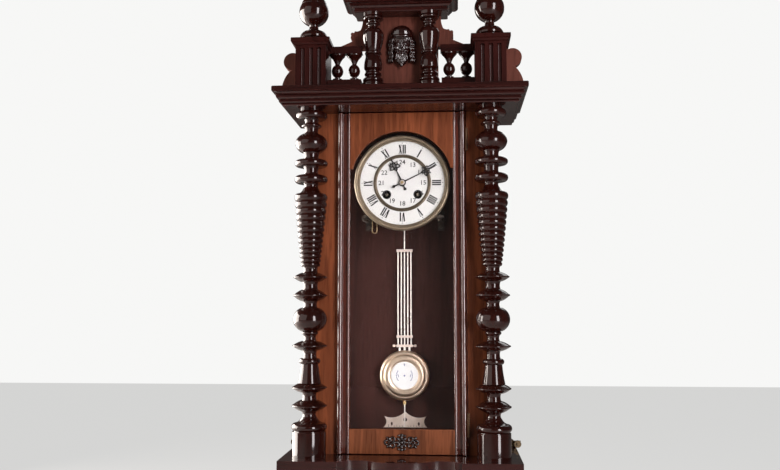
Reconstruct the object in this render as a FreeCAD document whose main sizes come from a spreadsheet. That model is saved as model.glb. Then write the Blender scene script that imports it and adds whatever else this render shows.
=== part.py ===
import FreeCAD, Part
import math
import os
import re

# Pendulum wall clock. Millimetres, +Z up, the front faces -Y and the wall is the plane y = 0.
# The origin is the centre of the wall hanger's hole, on the wall. Heights in the sheet are
# measured from the dial's centre, which lies dial_drop below the origin.

Vector = FreeCAD.Vector
doc = FreeCAD.newDocument("pendulum_wall_clock")

DIMS = [
    # the case
    ("dial_drop", 84, "hanger hole to dial centre"),
    ("case_half", 164, "half width of the case box"),
    ("side_thick", 14, "side frame thickness"),
    ("back_thick", 14, "backboard thickness"),
    ("board_thick", 13, "top and bottom board thickness"),
    ("stile_front", 116, "front of the front stiles, from the wall"),
    ("stile_thick", 16, "front stile thickness"),
    ("under_cornice", 124, "underside of the cornice"),
    ("base_top", -476, "top of the base"),
    ("window_low", -400, "side window sill"),
    ("window_high", 60, "side window head"),
    ("window_margin", 15, "side frame rail width round the window"),
    ("pane_thick", 2, "glass thickness"),
    # the door
    ("door_half", 112.5, "half width of the door"),
    ("door_gap", 2, "gap between door edge and front stile"),
    ("door_clear", 1.5, "gap above and below the door"),
    ("opening_half", 91, "half width of the door opening"),
    ("door_back", 112, "back of the door, from the wall"),
    ("door_front", 128, "front of the door beads"),
    ("panel_front", 123, "front of the veneered door panels"),
    ("panel_back", 115, "back of the veneered door panels"),
    ("arch_radius", 90, "arch over the dial"),
    ("arch_foot", 23, "height of the arch's foot"),
    ("rail_top", -433, "top of the door's bottom rail"),
    ("hinge_radius", 2.4, "hinge knuckle radius"),
    ("hinge_pin_radius", 1.2, "hinge pin radius"),
    ("hinge_height", 40, "hinge height"),
    ("fit_gap", 0.05, "running fit, on the radius"),
    # the cornice, base and console
    ("cornice_height", 32, "height of the main cornice"),
    ("cornice_half", 219, "half width of the main cornice"),
    ("cornice_front", 200, "front of the main cornice"),
    ("base_half", 202, "half width of the base blocks"),
    ("base_front", 200, "front of the base blocks"),
    ("base_height", 42, "height of the base blocks"),
    ("block_width", 96, "width of a base block"),
    ("console_height", 78, "height of the console under the base"),
    # the columns
    ("column_half", 157, "column axis from the middle"),
    ("column_depth", 147.5, "column axis from the wall"),
    ("column_radius", 30.4, "largest column radius"),
    # the crest
    ("post_half", 158, "crest post axis from the middle"),
    ("post_width", 54, "crest post width"),
    ("post_depth", 70, "crest post depth"),
    ("post_front", 160, "front of the crest posts"),
    ("post_height", 82, "crest post height"),
    ("cap_height", 13, "post cap height"),
    ("cap_reach", 7.5, "overhang of the post cap"),
    ("finial_height", 122, "post finial height"),
    ("slab_height", 12, "crest slab height"),
    ("slab_front", 150, "front of the crest slab"),
    ("slab_depth", 84, "crest slab depth"),
    ("riser_height", 16, "height of the risers under the gallery"),
    ("riser_front", 128, "front of the risers"),
    ("riser_start", 72, "inner end of the risers from the middle"),
    ("gallery_depth", 116, "axis of the gallery from the wall"),
    ("rail_height", 13, "gallery rail height"),
    ("rail_thick", 15, "gallery rail thickness"),
    ("spindle_height", 49, "gallery spindle height"),
    ("crest_axis", 128, "crest column axis from the wall"),
    ("crest_column_half", 50, "crest column axis from the middle"),
    ("crest_column_height", 135, "crest column height"),
    ("panel_depth", 108, "front of the crest panel, from the wall"),
    ("panel_thick", 18, "crest panel thickness"),
    ("pediment_half", 101, "half width of the pediment cornice"),
    ("pediment_front", 158, "front of the pediment cornice"),
    ("pediment_height", 40, "height of the pediment cornice"),
    ("pediment_depth", 68, "pediment cornice depth"),
    ("gable_height", 42, "height of the gable board"),
    ("top_finial_height", 52, "top finial height"),
    ("top_finial_radius", 16.5, "top finial radius"),
    # the dial and hands
    ("dial_front", 98, "front of the enamel dial"),
    ("dial_radius", 82, "enamel dial radius"),
    ("dial_thick", 2, "enamel dial thickness"),
    ("bezel_outer", 86, "bezel outside radius"),
    ("bezel_inner", 76, "bezel inside radius"),
    ("bezel_height", 7.5, "bezel height"),
    ("ring_outer", 51.8, "dial ring outside radius"),
    ("ring_inner", 45.8, "dial ring inside radius"),
    ("hour_reach", 48.5, "hour hand length"),
    ("minute_reach", 70, "minute hand length"),
    ("hour_angle", 335.33, "hour hand, clockwise from XII"),
    ("minute_angle", 64, "minute hand, clockwise from XII"),
    # the movement
    ("back_plate", 44, "back of the back plate, from the wall"),
    ("plate_gap", 42, "gap between the movement plates"),
    ("plate_thick", 2, "movement plate thickness"),
    ("plate_half", 58, "half width of the plates"),
    ("plate_low", -58, "lower edge of the plates"),
    ("plate_high", 56, "upper edge of the plates"),
    ("arbor_side", 28, "winding arbor from the middle"),
    ("arbor_drop", 21, "winding arbor below the dial centre"),
    ("arbor_radius", 3.5, "winding arbor radius"),
    ("arbor_square", 4.6, "winding square"),
    ("arbor_hole", 6.5, "winding hole radius in the dial"),
    ("drum_radius", 26, "barrel drum radius"),
    ("pivot_radius", 1, "train pivot radius"),
    ("anchor_height", 42, "anchor arbor and pendulum axis"),
    ("escape_height", 24, "escape wheel arbor"),
    # the pendulum
    ("pendulum_depth", 31, "pendulum plane from the wall"),
    ("rod_radius", 1, "pendulum rod radius"),
    ("upper_bar", -117, "upper cross bar"),
    ("middle_bar", -276, "middle cross bar"),
    ("lower_bar", -293, "lower cross bar"),
    ("bar_half", 15, "half length of a cross bar"),
    ("bob_height", -347, "centre of the bob"),
    ("bob_radius", 46, "bob radius"),
    ("bob_thick", 20, "bob thickness"),
    ("disc_radius", 25.3, "porcelain disc radius"),
    ("pointer_low", -440, "lower end of the pointer"),
    # fastening
    ("hanger_radius", 4, "wall hanger hole radius"),
    ("hanger_half", 24, "half width of the hanger plate"),
    ("hanger_thick", 2, "hanger plate thickness"),
    ("leveller_rise", 6, "levelling screw above the base"),
    ("leveller_reach", 3, "levelling screw beyond the end of the base"),
    ("leveller_radius", 2, "levelling screw radius"),
]

sheet = doc.addObject("Spreadsheet::Sheet", "dims")
for row, (alias, number, note) in enumerate(DIMS, start=1):
    sheet.set("A%d" % row, alias)
    sheet.set("B%d" % row, str(number))
    sheet.setAlias("B%d" % row, alias)
    sheet.set("C%d" % row, note)
doc.recompute()


class Sizes:
    """Numbers read back from the sheet by alias."""

    def __getattr__(self, alias):
        return float(getattr(sheet, alias))


d = Sizes()
ALIASES = sorted((alias for alias, _, _ in DIMS), key=len, reverse=True)
ALIAS_WORD = re.compile(r"\b(" + "|".join(ALIASES) + r")\b")


def bind(text):
    """Write an expression on the sheet's aliases in the document's own form."""
    return ALIAS_WORD.sub(r"dims.\1", text)


def level(height):
    """Height above the dial's centre, turned into the clock's own z."""
    return height - d.dial_drop


def box(name, x, y, z):
    """Block between pairs of expressions; z runs from the dial's centre."""
    item = doc.addObject("Part::Box", name)
    for prop, (low, high) in zip(("Length", "Width", "Height"), (x, y, z)):
        item.setExpression(prop, bind("(%s) - (%s)" % (high, low)))
    corner = (x[0], y[0], "(%s) - dial_drop" % z[0])
    for axis, text in zip("xyz", corner):
        item.setExpression(".Placement.Base." + axis, bind(text))
    return item


def feature(name, shape):
    item = doc.addObject("Part::Feature", name)
    item.Shape = shape
    item.Placement = shape.Placement
    return item


def difference(name, base, tool):
    item = doc.addObject("Part::Cut", name)
    item.Base = base
    item.Tool = tool
    return item


def together(name, items):
    """Several separate solids kept as one node."""
    item = doc.addObject("Part::Compound", name)
    item.Links = items
    return item


def origin_plane(body, role):
    return next(item for item in body.Origin.OriginFeatures if item.Role == role)


def sketched(name, plane, edges):
    """A body with one sketch on an origin plane."""
    body = doc.addObject("PartDesign::Body", name)
    sketch = body.newObject("Sketcher::SketchObject", name + "_sketch")
    sketch.AttachmentSupport = [(origin_plane(body, plane), "")]
    sketch.MapMode = "FlatFace"
    for edge in edges:
        sketch.addGeometry(edge, False)
    return body, sketch


def line(start, end):
    return Part.LineSegment(Vector(*start, 0), Vector(*end, 0))


def arc(start, middle, end):
    return Part.Arc(Vector(*start, 0), Vector(*middle, 0), Vector(*end, 0))


def outline(steps, closed=True):
    """Edges from a start point and steps: (x, y) for a line, (mx, my, x, y) for an arc."""
    edges = []
    here = steps[0]
    for step in steps[1:]:
        if len(step) == 2:
            if math.dist(here, step) < 1e-6:
                continue
            edges.append(line(here, step))
        else:
            edges.append(arc(here, step[:2], step[2:]))
        here = step[-2:]
    if closed and math.dist(here, steps[0]) > 1e-6:
        edges.append(line(here, steps[0]))
    return edges


def mirrored_steps(half):
    """Close a right-hand outline, listed upwards from the middle, with its mirror image."""
    back = []
    points = [step[-2:] for step in half]
    for index in range(len(half) - 1, 0, -1):
        step = half[index]
        target = (-points[index - 1][0], points[index - 1][1])
        back.append(target if len(step) == 2 else (-step[0], step[1]) + target)
    return list(half) + [(-points[-1][0], points[-1][1])] + back


def padded(name, plane, edges, thickness, place):
    """Pad an outline; on XZ_Plane the pad grows towards the front."""
    body, sketch = sketched(name, plane, edges)
    pad = body.newObject("PartDesign::Pad", name + "_pad")
    pad.Profile = sketch
    pad.setExpression("Length", bind(thickness))
    for axis, text in zip("xyz", place):
        body.setExpression(".Placement.Base." + axis, bind(text))
    return body


# Turned profiles are lists of elements from the foot up: (height, start, middle, end), the
# three radii of that stretch; a middle of None is a straight side.
def turned_steps(elements, height, radius):
    """Scale a turned profile to its height and largest radius and return outline steps."""
    tall = sum(element[0] for element in elements)
    wide = max(max(r for r in element[1:] if r is not None) for element in elements)
    along = height / tall
    across = radius / wide
    steps = [(0, 0)]
    risen = 0
    for rise, start, middle, end in elements:
        rise = rise * along
        steps.append((start * across, risen))
        if middle is None:
            steps.append((end * across, risen + rise))
        else:
            steps.append((middle * across, risen + rise / 2, end * across, risen + rise))
        risen += rise
    steps.append((0, risen))
    return steps


def turned(name, elements, height, radius, place):
    """Upright turned piece with its foot at the given place."""
    body, sketch = sketched(name, "XZ_Plane", outline(turned_steps(elements, height, radius)))
    turn = body.newObject("PartDesign::Revolution", name + "_turn")
    turn.Profile = sketch
    turn.ReferenceAxis = (sketch, ["V_Axis"])
    turn.Angle = 360
    for axis, text in zip("xyz", place):
        body.setExpression(".Placement.Base." + axis, bind(text))
    return body


def spun(name, steps, place=("0", "0", "-dial_drop")):
    """Ring or disc turned about the line of the dial; steps are (radius, y)."""
    body, sketch = sketched(name, "XY_Plane", outline(steps))
    turn = body.newObject("PartDesign::Revolution", name + "_turn")
    turn.Profile = sketch
    turn.ReferenceAxis = (sketch, ["V_Axis"])
    turn.Angle = 360
    for axis, text in zip("xyz", place):
        body.setExpression(".Placement.Base." + axis, bind(text))
    return body


def face_of(edges):
    return Part.Face(Part.Wire([edge.toShape() for edge in edges]))


def prism(steps, direction, place=Vector(0, 0, 0), turn=None):
    """Solid pulled out of an outline drawn in x and y, then turned and moved."""
    solid = face_of(outline(steps)).extrude(direction)
    if turn is not None:
        solid.rotate(Vector(0, 0, 0), *turn)
    solid.translate(place)
    return solid


def moulding(profile, half, front, back, base):
    """Mitred moulding round the front and both ends; profile steps are (overhang, height)."""
    first = profile[0][1]
    last = profile[-1][-1]
    front_steps = [(-back, first)]
    side_steps = [(0, first)]
    for step in profile:
        pairs = [step[i:i + 2] for i in range(0, len(step), 2)]
        front_steps.append(tuple(value for out, up in pairs for value in (-front - out, up)))
        side_steps.append(tuple(value for out, up in pairs for value in (half + out, up)))
    front_steps.append((-back, last))
    side_steps.append((0, last))
    reach = 2 * (half + front)
    upright = (Vector(1, 0, 0), 90)
    right = prism(side_steps, Vector(0, 0, reach), Vector(0, 0, 0), upright)
    left = right.mirror(Vector(0, 0, 0), Vector(1, 0, 0))
    across = right.fuse(left).removeSplitter()
    run = face_of(outline(front_steps)).extrude(Vector(0, 0, 2 * reach))
    run.rotate(Vector(0, 0, 0), Vector(1, 1, 1), 120)
    run.translate(Vector(-reach, 0, 0))
    solid = across.common(run).removeSplitter()
    solid.translate(Vector(0, 0, level(base)))
    return solid.Solids[0]


def rod_y(radius, x, z, near, far):
    """Round bar along y between two distances from the wall; z from the dial's centre."""
    return Part.makeCylinder(radius, far - near, Vector(x, -far, level(z)), Vector(0, 1, 0))


def upright(radius, x, low, high, y_from_wall):
    """Round bar along z; heights from the dial's centre."""
    return Part.makeCylinder(radius, high - low, Vector(x, -y_from_wall, level(low)))


def block(x0, x1, near, far, z0, z1):
    """Plain block between two distances from the wall; z from the dial's centre."""
    return Part.makeBox(x1 - x0, far - near, z1 - z0, Vector(x0, -far, level(z0)))


def fused(parts):
    return parts[0].multiFuse(parts[1:]).removeSplitter()


# ---------------------------------------------------------------- the case
CASE_FRONT = "-(stile_front - stile_thick)"

backboard_blank = box("backboard_blank", ("-case_half", "case_half"), ("-back_thick", "0"),
                      ("base_top", "under_cornice"))
HANGER_RISE = 14
HANGER_END = 8
plate_recess = box("plate_recess", ("-(hanger_half + %d)" % HANGER_END,
                                    "hanger_half + %d" % HANGER_END), ("-hanger_thick", "0"),
                   ("dial_drop - %d" % HANGER_RISE, "dial_drop + %d" % HANGER_RISE))
POCKET_BELOW = 9
POCKET_ABOVE = 12
nail_pocket = box("nail_pocket", ("-hanger_half / 2", "hanger_half / 2"),
                  ("-back_thick * 0.6", "0"),
                  ("dial_drop - %d" % POCKET_BELOW, "dial_drop + %d" % POCKET_ABOVE))
SCREW_RADIUS = 2
SCREW_LENGTH = 12
screw_holes = []
for label, sign in (("left", "-"), ("right", "")):
    screw = doc.addObject("Part::Cylinder", "screw_hole_" + label)
    screw.Radius = SCREW_RADIUS
    screw.Height = SCREW_LENGTH
    screw.Placement.Rotation = FreeCAD.Rotation(Vector(1, 0, 0), 90)
    screw.setExpression(".Placement.Base.x", bind("%s(hanger_half + %d)" % (sign,
                                                                           HANGER_END / 2)))
    screw_holes.append(screw)
cutters = doc.addObject("Part::MultiFuse", "backboard_cutters")
cutters.Shapes = [plate_recess, nail_pocket] + screw_holes
board_cut = difference("backboard_cut", backboard_blank, cutters)
EAR = [(d.case_half, d.base_top), (d.base_half + 3, d.base_top), (d.base_half - 2, d.base_top + 9),
       (d.base_half - 20, d.base_top + 26, d.case_half, d.base_top + 58)]
ears = []
for label, sign in (("left", -1), ("right", 1)):
    steps = [tuple(sign * value if i % 2 == 0 else value for i, value in enumerate(step))
             for step in EAR]
    ears.append(padded("backboard_ear_" + label, "XZ_Plane", outline(steps), "back_thick",
                       ("0", "0", "-dial_drop")))
board = doc.addObject("Part::MultiFuse", "backboard")
board.Shapes = [board_cut] + ears

inner = "case_half - side_thick"
top_board = box("top_board", ("-(%s)" % inner, inner), (CASE_FRONT, "-back_thick"),
                ("under_cornice - board_thick", "under_cornice"))
bottom_board = box("bottom_board", ("-(%s)" % inner, inner), (CASE_FRONT, "-back_thick"),
                   ("base_top", "base_top + board_thick"))
together("case_boards", [top_board, bottom_board])

side_frames = []
side_panes = []
for label, sign in (("left", -1), ("right", 1)):
    outer_x, inner_x = "case_half", "case_half - side_thick"
    span = (inner_x, outer_x) if sign > 0 else ("-" + outer_x, "-(%s)" % inner_x)
    blank = box("side_blank_" + label, span, (CASE_FRONT, "-back_thick"),
                ("base_top", "under_cornice"))
    window_y = ("-(stile_front - stile_thick - window_margin)", "-(back_thick + window_margin)")
    window = box("side_window_" + label, span, window_y, ("window_low", "window_high"))
    side_frames.append(difference("side_frame_" + label, blank, window))
    pane_x = ("case_half - side_thick / 2 - pane_thick / 2",
              "case_half - side_thick / 2 + pane_thick / 2")
    if sign < 0:
        pane_x = ("-(%s)" % pane_x[1], "-(%s)" % pane_x[0])
    side_panes.append(box("side_pane_" + label, pane_x, window_y, ("window_low", "window_high")))
together("side_frames", side_frames)
together("side_glasses", side_panes)

stile_inner = "door_half + door_gap"
stile_y = ("-stile_front", CASE_FRONT)
stile_z = ("base_top", "under_cornice")
left_stile = box("left_stile", ("-case_half", "-(%s)" % stile_inner), stile_y, stile_z)
right_stile = box("right_stile", (stile_inner, "case_half"), stile_y, stile_z)
together("front_stiles", [left_stile, right_stile])

# ---------------------------------------------------------------- the columns
BEAD_COUNT = 13
BEAD_STACK = []
for index in range(BEAD_COUNT):
    share = index / (BEAD_COUNT - 1)
    swell = 17.2 + 11.8 * share
    BEAD_STACK.append((7.3 + 4.9 * share, swell - 2.6, swell, swell - 2.6))


def saucer(height, foot, rim):
    """Thin-edged disc: a rising curve, a narrow rounded rim and the same curve back."""
    edge = 0.17 * height
    slope = (height - edge) / 2
    shoulder = rim - 0.6 * edge
    belly = foot + 0.62 * (shoulder - foot)
    return [(slope, foot, belly, shoulder), (edge, shoulder, rim, shoulder),
            (slope, shoulder, belly, foot)]


COLUMN = [
    (42, 29, None, 29), (1.5, 26.5, None, 26.5), (12.5, 26.5, 30.6, 26.5),
    (9, 26.5, 17, 13.8), (11, 13.8, 11.5, 13.8),
] + saucer(18.5, 15.5, 30.2) + [
    (13.5, 13, 11.5, 13),
] + saucer(15.5, 17, 30.2) + [
    (32, 20, 17, 15.2), (10.2, 14, 18.7, 14), (12.8, 12.5, 11.3, 12.5),
] + saucer(16.2, 14.5, 30.4) + [
    (11, 12, 10.4, 12), (6, 11.6, 14.4, 11.6), (22, 15.6, 27.3, 29.4),
    (18, 29.4, 26.5, 15.7), (11.2, 13, 11.5, 13),
] + saucer(19.8, 15, 29.8) + [
    (13.5, 14, 12.5, 14),
] + saucer(15.7, 15.5, 29.4) + [
    (10.4, 13.6, 12.3, 13.6),
] + BEAD_STACK + [
    (9, 23, 17, 14.2), (10, 14.2, 12, 14), (13.6, 20, 29.2, 20), (15.7, 14, 12.3, 14),
    (11.6, 21, 29.1, 21), (13.4, 14.5, 13, 14.5), (16.5, 15.6, 26, 28.6),
    (15.8, 28.6, 26, 17), (12.6, 13, 11.6, 13), (4.8, 14.5, 17.7, 14.5), (9, 13, 11.8, 13),
    (13.8, 21, 27.7, 21), (4, 20, None, 20),
]
column_height = d.under_cornice - d.base_top
for label, sign in (("left", "-"), ("right", "")):
    turned("column_" + label, COLUMN, column_height, d.column_radius,
           (sign + "column_half", "-column_depth", "base_top - dial_drop"))

# ---------------------------------------------------------------- cornice, base and console
tall = d.cornice_height
CORNICE = [(-17, 0), (-15, 2.25, -17, 4.5), (-13, 4.5), (-11.2, 7, -13, 9.5), (-13, 11),
           (-9, 11), (-6.8, 14.6, -9, 18.2), (-6.5, 18.2), (-5.4, 21.4, -2, 22.4),
           (-2, 23.4), (0, 23.4), (0, tall - 1.5), (-1.5, tall)]
feature("main_cornice", moulding(CORNICE, d.cornice_half, d.cornice_front, 0,
                                d.under_cornice))

block_in = d.base_half - d.block_width
serpentine_back = d.base_front - 12
BASE_PLAN = mirrored_steps([
    (0, -(d.base_front + 4)),
    (block_in * 0.24, -(d.base_front + 3), block_in * 0.46, -(serpentine_back + 2)),
    (block_in * 0.66, -(serpentine_back - 7), block_in * 0.88, -(serpentine_back + 2)),
    (block_in * 0.97, -(serpentine_back + 4)),
    (block_in * 0.97, -d.base_front), (d.base_half, -d.base_front), (d.base_half, 0), (0, 0)])
padded("base_plinth", "XY_Plane", outline(BASE_PLAN), "base_height",
       ("0", "0", "base_top - base_height - dial_drop"))

FLARE_HEIGHT = 44
FLARE = [(-34, 0), (-30, 5), (-12, 10, -8, 26), (-4, 26), (-4, 33), (-1, 36), (-4, 39), (-9, 39),
         (-9, FLARE_HEIGHT)]
flare_low = d.base_top - d.base_height - FLARE_HEIGHT
feature("base_moulding", moulding(FLARE, d.base_half, d.base_front, 0, flare_low))

# shaped board that runs down the wall below the base, with a stepped middle
foot = d.console_height
CONSOLE = mirrored_steps([
    (0, -foot), (26, -foot), (34, -foot + 12, 52, -foot + 16),
    (66, -foot + 22), (78, -foot + 44, 100, -foot + 46), (118, -foot + 52),
    (150, -foot + 52, 152, 0), (0, 0)])
CONSOLE_TOP = "base_top - base_height - %d - dial_drop" % FLARE_HEIGHT
padded("console", "XZ_Plane", outline(CONSOLE), "back_thick * 2", ("0", "0", CONSOLE_TOP))

DROP = [(4, 5, 8, 9), (9, 9, 15, 9), (5, 6, 5, 9), (16, 10, 21, 19), (10, 19, 17, 11),
        (5, 8, 7, 11), (6, 17, 19, 17), (4, 14, None, 14)]
DROP_HEIGHT = 59
DROP_RADIUS = 17
DROP_SIDE = 118
drops = []
for label, place in (("left", -DROP_SIDE), ("right", DROP_SIDE)):
    drops.append(turned("drop_" + label, DROP, DROP_HEIGHT, DROP_RADIUS,
                        (str(place), "-base_front * 0.55",
                         "%s - %d" % (CONSOLE_TOP, DROP_HEIGHT))))
together("pendant_drops", drops)

# ---------------------------------------------------------------- the crest
crest_foot = d.under_cornice + d.cornice_height
FOOT = "under_cornice + cornice_height"
POST_INSIDE = "(post_half - post_width / 2)"
slab_back = "-(slab_front - slab_depth)"
slab_parts = [box("slab_board", ("-" + POST_INSIDE, POST_INSIDE), ("-slab_front", slab_back),
                  (FOOT, FOOT + " + slab_height"))]
riser_z = (FOOT + " + slab_height", FOOT + " + slab_height + riser_height")
slab_parts.append(box("riser_left", ("-" + POST_INSIDE, "-riser_start"),
                      ("-riser_front", slab_back), riser_z))
slab_parts.append(box("riser_right", ("riser_start", POST_INSIDE), ("-riser_front", slab_back),
                      riser_z))
slab = doc.addObject("Part::MultiFuse", "crest_slab")
slab.Shapes = slab_parts

FLUTE_COUNT = 3
flute_radius = d.post_width / 13
CAP = [(0, 0), (3.2, 1.2, 4.6, 4.4), (5.5, 4.4), (d.cap_reach, 6.2),
       (d.cap_reach, d.cap_height - 1), (d.cap_reach - 1, d.cap_height)]
posts = []
caps = []
for sign in (-1, 1):
    half_width = d.post_width / 2
    post = block(sign * d.post_half - half_width, sign * d.post_half + half_width,
                 d.post_front - d.post_depth, d.post_front, crest_foot,
                 crest_foot + d.post_height)
    for index in range(FLUTE_COUNT):
        across = sign * d.post_half + (index - (FLUTE_COUNT - 1) / 2) * d.post_width / 3.7
        flute = Part.makeCylinder(flute_radius, d.post_height - 8,
                                  Vector(across, -d.post_front, level(crest_foot + 4)))
        post = post.cut(flute)
    posts.append(post)
    cap = moulding(CAP, half_width, d.post_front, d.post_front - d.post_depth - d.cap_reach,
                   crest_foot + d.post_height)
    cap.translate(Vector(sign * d.post_half, 0, 0))
    caps.append(cap)
feature("crest_posts", Part.makeCompound(posts + caps))

FINIAL = [(4, 25, None, 25), (5, 22, 20.5, 22), (3, 25, None, 25), (11, 25, 22.5, 12.5),
          (5.3, 12.5, 9.4, 8.6), (5, 8.6, 8.2, 8.6), (25.4, 8.5, 23.6, 26.8),
          (12.5, 26.8, 26, 23.5), (1.5, 22.3, None, 22.3), (14, 22.8, 20, 9), (4, 8, 7, 8),
          (6, 9, 12, 9), (4, 7, 5.5, 6), (18, 6, 5, 2), (3, 2, 2.4, 1)]
FINIAL_RADIUS = 26.8
finials = []
for label, sign in (("left", "-"), ("right", "")):
    finials.append(turned("finial_" + label, FINIAL, d.finial_height, FINIAL_RADIUS,
                          (sign + "post_half", "-(post_front - post_depth / 2)",
                           FOOT + " + post_height + cap_height - dial_drop")))
together("post_finials", finials)

SPINDLE = [(3.5, 8.5, None, 8.5), (3.5, 5, 4.4, 5), (21, 5, 10.6, 5), (3, 4.6, 4.2, 4.6),
           (12.5, 4.6, 7.6, 13.2), (4, 13.2, 13.8, 13.2)]
SPINDLE_RADIUS = 13.8
SPINDLE_PLACES = (-116, -85.5, 85.5, 116)
spindles = []
for index, place in enumerate(SPINDLE_PLACES):
    spindles.append(turned("spindle_%d" % (index + 1), SPINDLE, d.spindle_height,
                           SPINDLE_RADIUS, (str(place), "-gallery_depth",
                                            FOOT + " + slab_height + riser_height - dial_drop")))
together("gallery_spindles", spindles)

PANEL_FLARE = 70
rail_low = crest_foot + d.slab_height + d.riser_height + d.spindle_height
gallery_rails = []
for sign, cap in zip((-1, 1), caps):
    ends = sorted((sign * PANEL_FLARE, sign * (d.post_half - d.post_width / 2)))
    rail = block(ends[0], ends[1], d.gallery_depth - d.rail_thick / 2,
                 d.gallery_depth + d.rail_thick / 2, rail_low, rail_low + d.rail_height)
    gallery_rails.append(rail.cut(cap))
feature("gallery_rails", Part.makeCompound(gallery_rails))

# the carved panel behind the head, and the ears and wings cut from board
panel_tall = d.crest_column_height
rail_up = d.riser_height + d.spindle_height + d.rail_height
slope_start = d.post_half - d.post_width / 2 - d.cap_reach - 0.5
PANEL = mirrored_steps([
    (0, 0), (PANEL_FLARE - 4, 0), (PANEL_FLARE - 4, rail_up + 0.4),
    (slope_start, rail_up + 0.4), (110, rail_up + 5.5, 88, rail_up + 15),
    (93, rail_up + 19, 92, rail_up + 25), (91, rail_up + 30.5, 87.5, rail_up + 29.5),
    (85.5, rail_up + 33),
    (81, rail_up + 32.5, 75, rail_up + 35), (72.4, rail_up + 42.5, 71, rail_up + 52),
    (71, panel_tall), (0, panel_tall)])
panel = padded("panel_board", "XZ_Plane", outline(PANEL), "panel_thick",
               ("0", "-(panel_depth - panel_thick)", FOOT + " + slab_height - dial_drop"))
wing_out = d.cornice_half - 1 - (d.post_half + d.post_width / 2)
wing_top = d.post_height - 1
WING = [(0, 0), (wing_out, 0), (wing_out, 6), (wing_out - 5, wing_top - 46, 19, wing_top - 33),
        (14, wing_top - 31), (30, wing_top - 15, 6, wing_top), (0, wing_top)]
wings = []
for sign in (-1, 1):
    wing = prism(WING, Vector(0, 0, d.panel_thick), Vector(0, 0, 0), (Vector(1, 0, 0), 90))
    wing.translate(Vector(d.post_half + d.post_width / 2,
                          -(d.gallery_depth - d.panel_thick - 1),
                          level(crest_foot)))
    if sign < 0:
        wing = wing.mirror(Vector(0, 0, 0), Vector(1, 0, 0))
    wings.append(feature("wing_left" if sign < 0 else "wing_right", wing))
together("crest_boards", [panel] + wings)

CREST_COLUMN = [(4, 19.4, None, 19.4), (4, 18.5, 19.6, 18), (7.5, 16, 18.6, 15.5), (4, 13, 12, 13),
                (5.5, 13.5, 15.5, 13.5), (4, 12.5, 11.5, 13), (6, 13, 16, 16.4),
                (21, 16.4, 15.4, 12.2), (5.5, 13, 15, 13), (27.5, 12.2, 16.8, 18.8),
                (14.5, 18.8, 17.6, 10), (5, 10, 8.8, 10), (4, 10.5, 12.5, 10.5),
                (4.5, 9.5, 8.6, 10), (6, 15, 17.8, 15), (5.5, 18, None, 18)]
CREST_COLUMN_RADIUS = 19.6
crest_columns = []
for label, sign in (("left", "-"), ("right", "")):
    crest_columns.append(turned("crest_column_" + label, CREST_COLUMN, d.crest_column_height,
                                CREST_COLUMN_RADIUS,
                                (sign + "crest_column_half", "-crest_axis",
                                 FOOT + " + slab_height - dial_drop")))
together("crest_columns", crest_columns)

# plain relief of the carved head: a cropped egg with a flat back on the panel
HEAD_RISE = 79
HEAD_HALF = (28, 24, 40)
head_centre = Vector(0, -d.panel_depth, level(crest_foot + d.slab_height + HEAD_RISE))
head = Part.makeSphere(1)
stretch = FreeCAD.Matrix()
stretch.scale(*HEAD_HALF)
head = head.transformGeometry(stretch)
behind = Vector(-2 * HEAD_HALF[0], 0, -2 * HEAD_HALF[2])
head = head.cut(Part.makeBox(4 * HEAD_HALF[0], 2 * HEAD_HALF[1], 4 * HEAD_HALF[2], behind))
head.translate(head_centre)
feature("carved_head", head)

gable_seat = crest_foot + d.slab_height + d.crest_column_height
PEDIMENT = [(-20, 0), (-17.5, 2, -18.5, 4.5), (-18.5, 7), (-15, 7), (-13, 10, -10, 12),
            (-10, 14), (-8, 14), (1.5, 20, -2, 29), (-2, 31), (0, 31),
            (0, d.pediment_height - 1.5), (-1.5, d.pediment_height)]
feature("pediment_cornice", moulding(PEDIMENT, d.pediment_half, d.pediment_front,
                                     d.pediment_front - d.pediment_depth, gable_seat))

rise = d.gable_height
GABLE = mirrored_steps([
    (0, 0), (84, 0), (84, 5), (76, 15, 62, 12), (56, 9, 50, 14), (44, rise - 8, 18, rise - 4),
    (18, rise), (0, rise)])
padded("pediment_gable", "XZ_Plane", outline(GABLE), "panel_thick",
       ("0", "-(crest_axis - panel_thick / 2)",
        FOOT + " + slab_height + crest_column_height + pediment_height - dial_drop"))

TOP_FINIAL = [(4, 15, None, 15), (5, 12, 9, 7), (4, 7, 6, 7), (10, 8, 15, 17), (10, 17, 16, 9),
              (3, 7, 6, 7), (5, 8, 10, 8), (15, 6, 5, 1.6), (3, 1.6, 2, 0.8)]
turned("top_finial", TOP_FINIAL, d.top_finial_height, d.top_finial_radius,
       ("0", "-crest_axis", FOOT + " + slab_height + crest_column_height + pediment_height"
        " + gable_height - dial_drop"))

# ---------------------------------------------------------------- the door
back = -d.door_back
front = -d.door_front
STILE_PLAN = [(d.opening_half, back), (d.door_half, back), (d.door_half, front + 4.4),
              (d.door_half - 4.5, front, d.door_half - 9, front + 4.4),
              (d.door_half - 9.5, front + 7.5), (d.opening_half + 5, front + 7.5),
              (d.opening_half + 5, front + 5.5),
              (d.opening_half + 2.5, front + 3.1, d.opening_half, front + 5.5)]
door_tall = "under_cornice - base_top - 2 * door_clear"
door_foot = "base_top + door_clear - dial_drop"
right_door_stile = padded("door_stile_right", "XY_Plane", outline(STILE_PLAN), door_tall,
                          ("0", "0", door_foot))
LEFT_PLAN = [tuple(-value if i % 2 == 0 else value for i, value in enumerate(step))
             for step in STILE_PLAN]
left_door_stile = padded("door_stile_left", "XY_Plane", outline(LEFT_PLAN), door_tall,
                         ("0", "0", door_foot))
together("door_stiles", [left_door_stile, right_door_stile])

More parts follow.
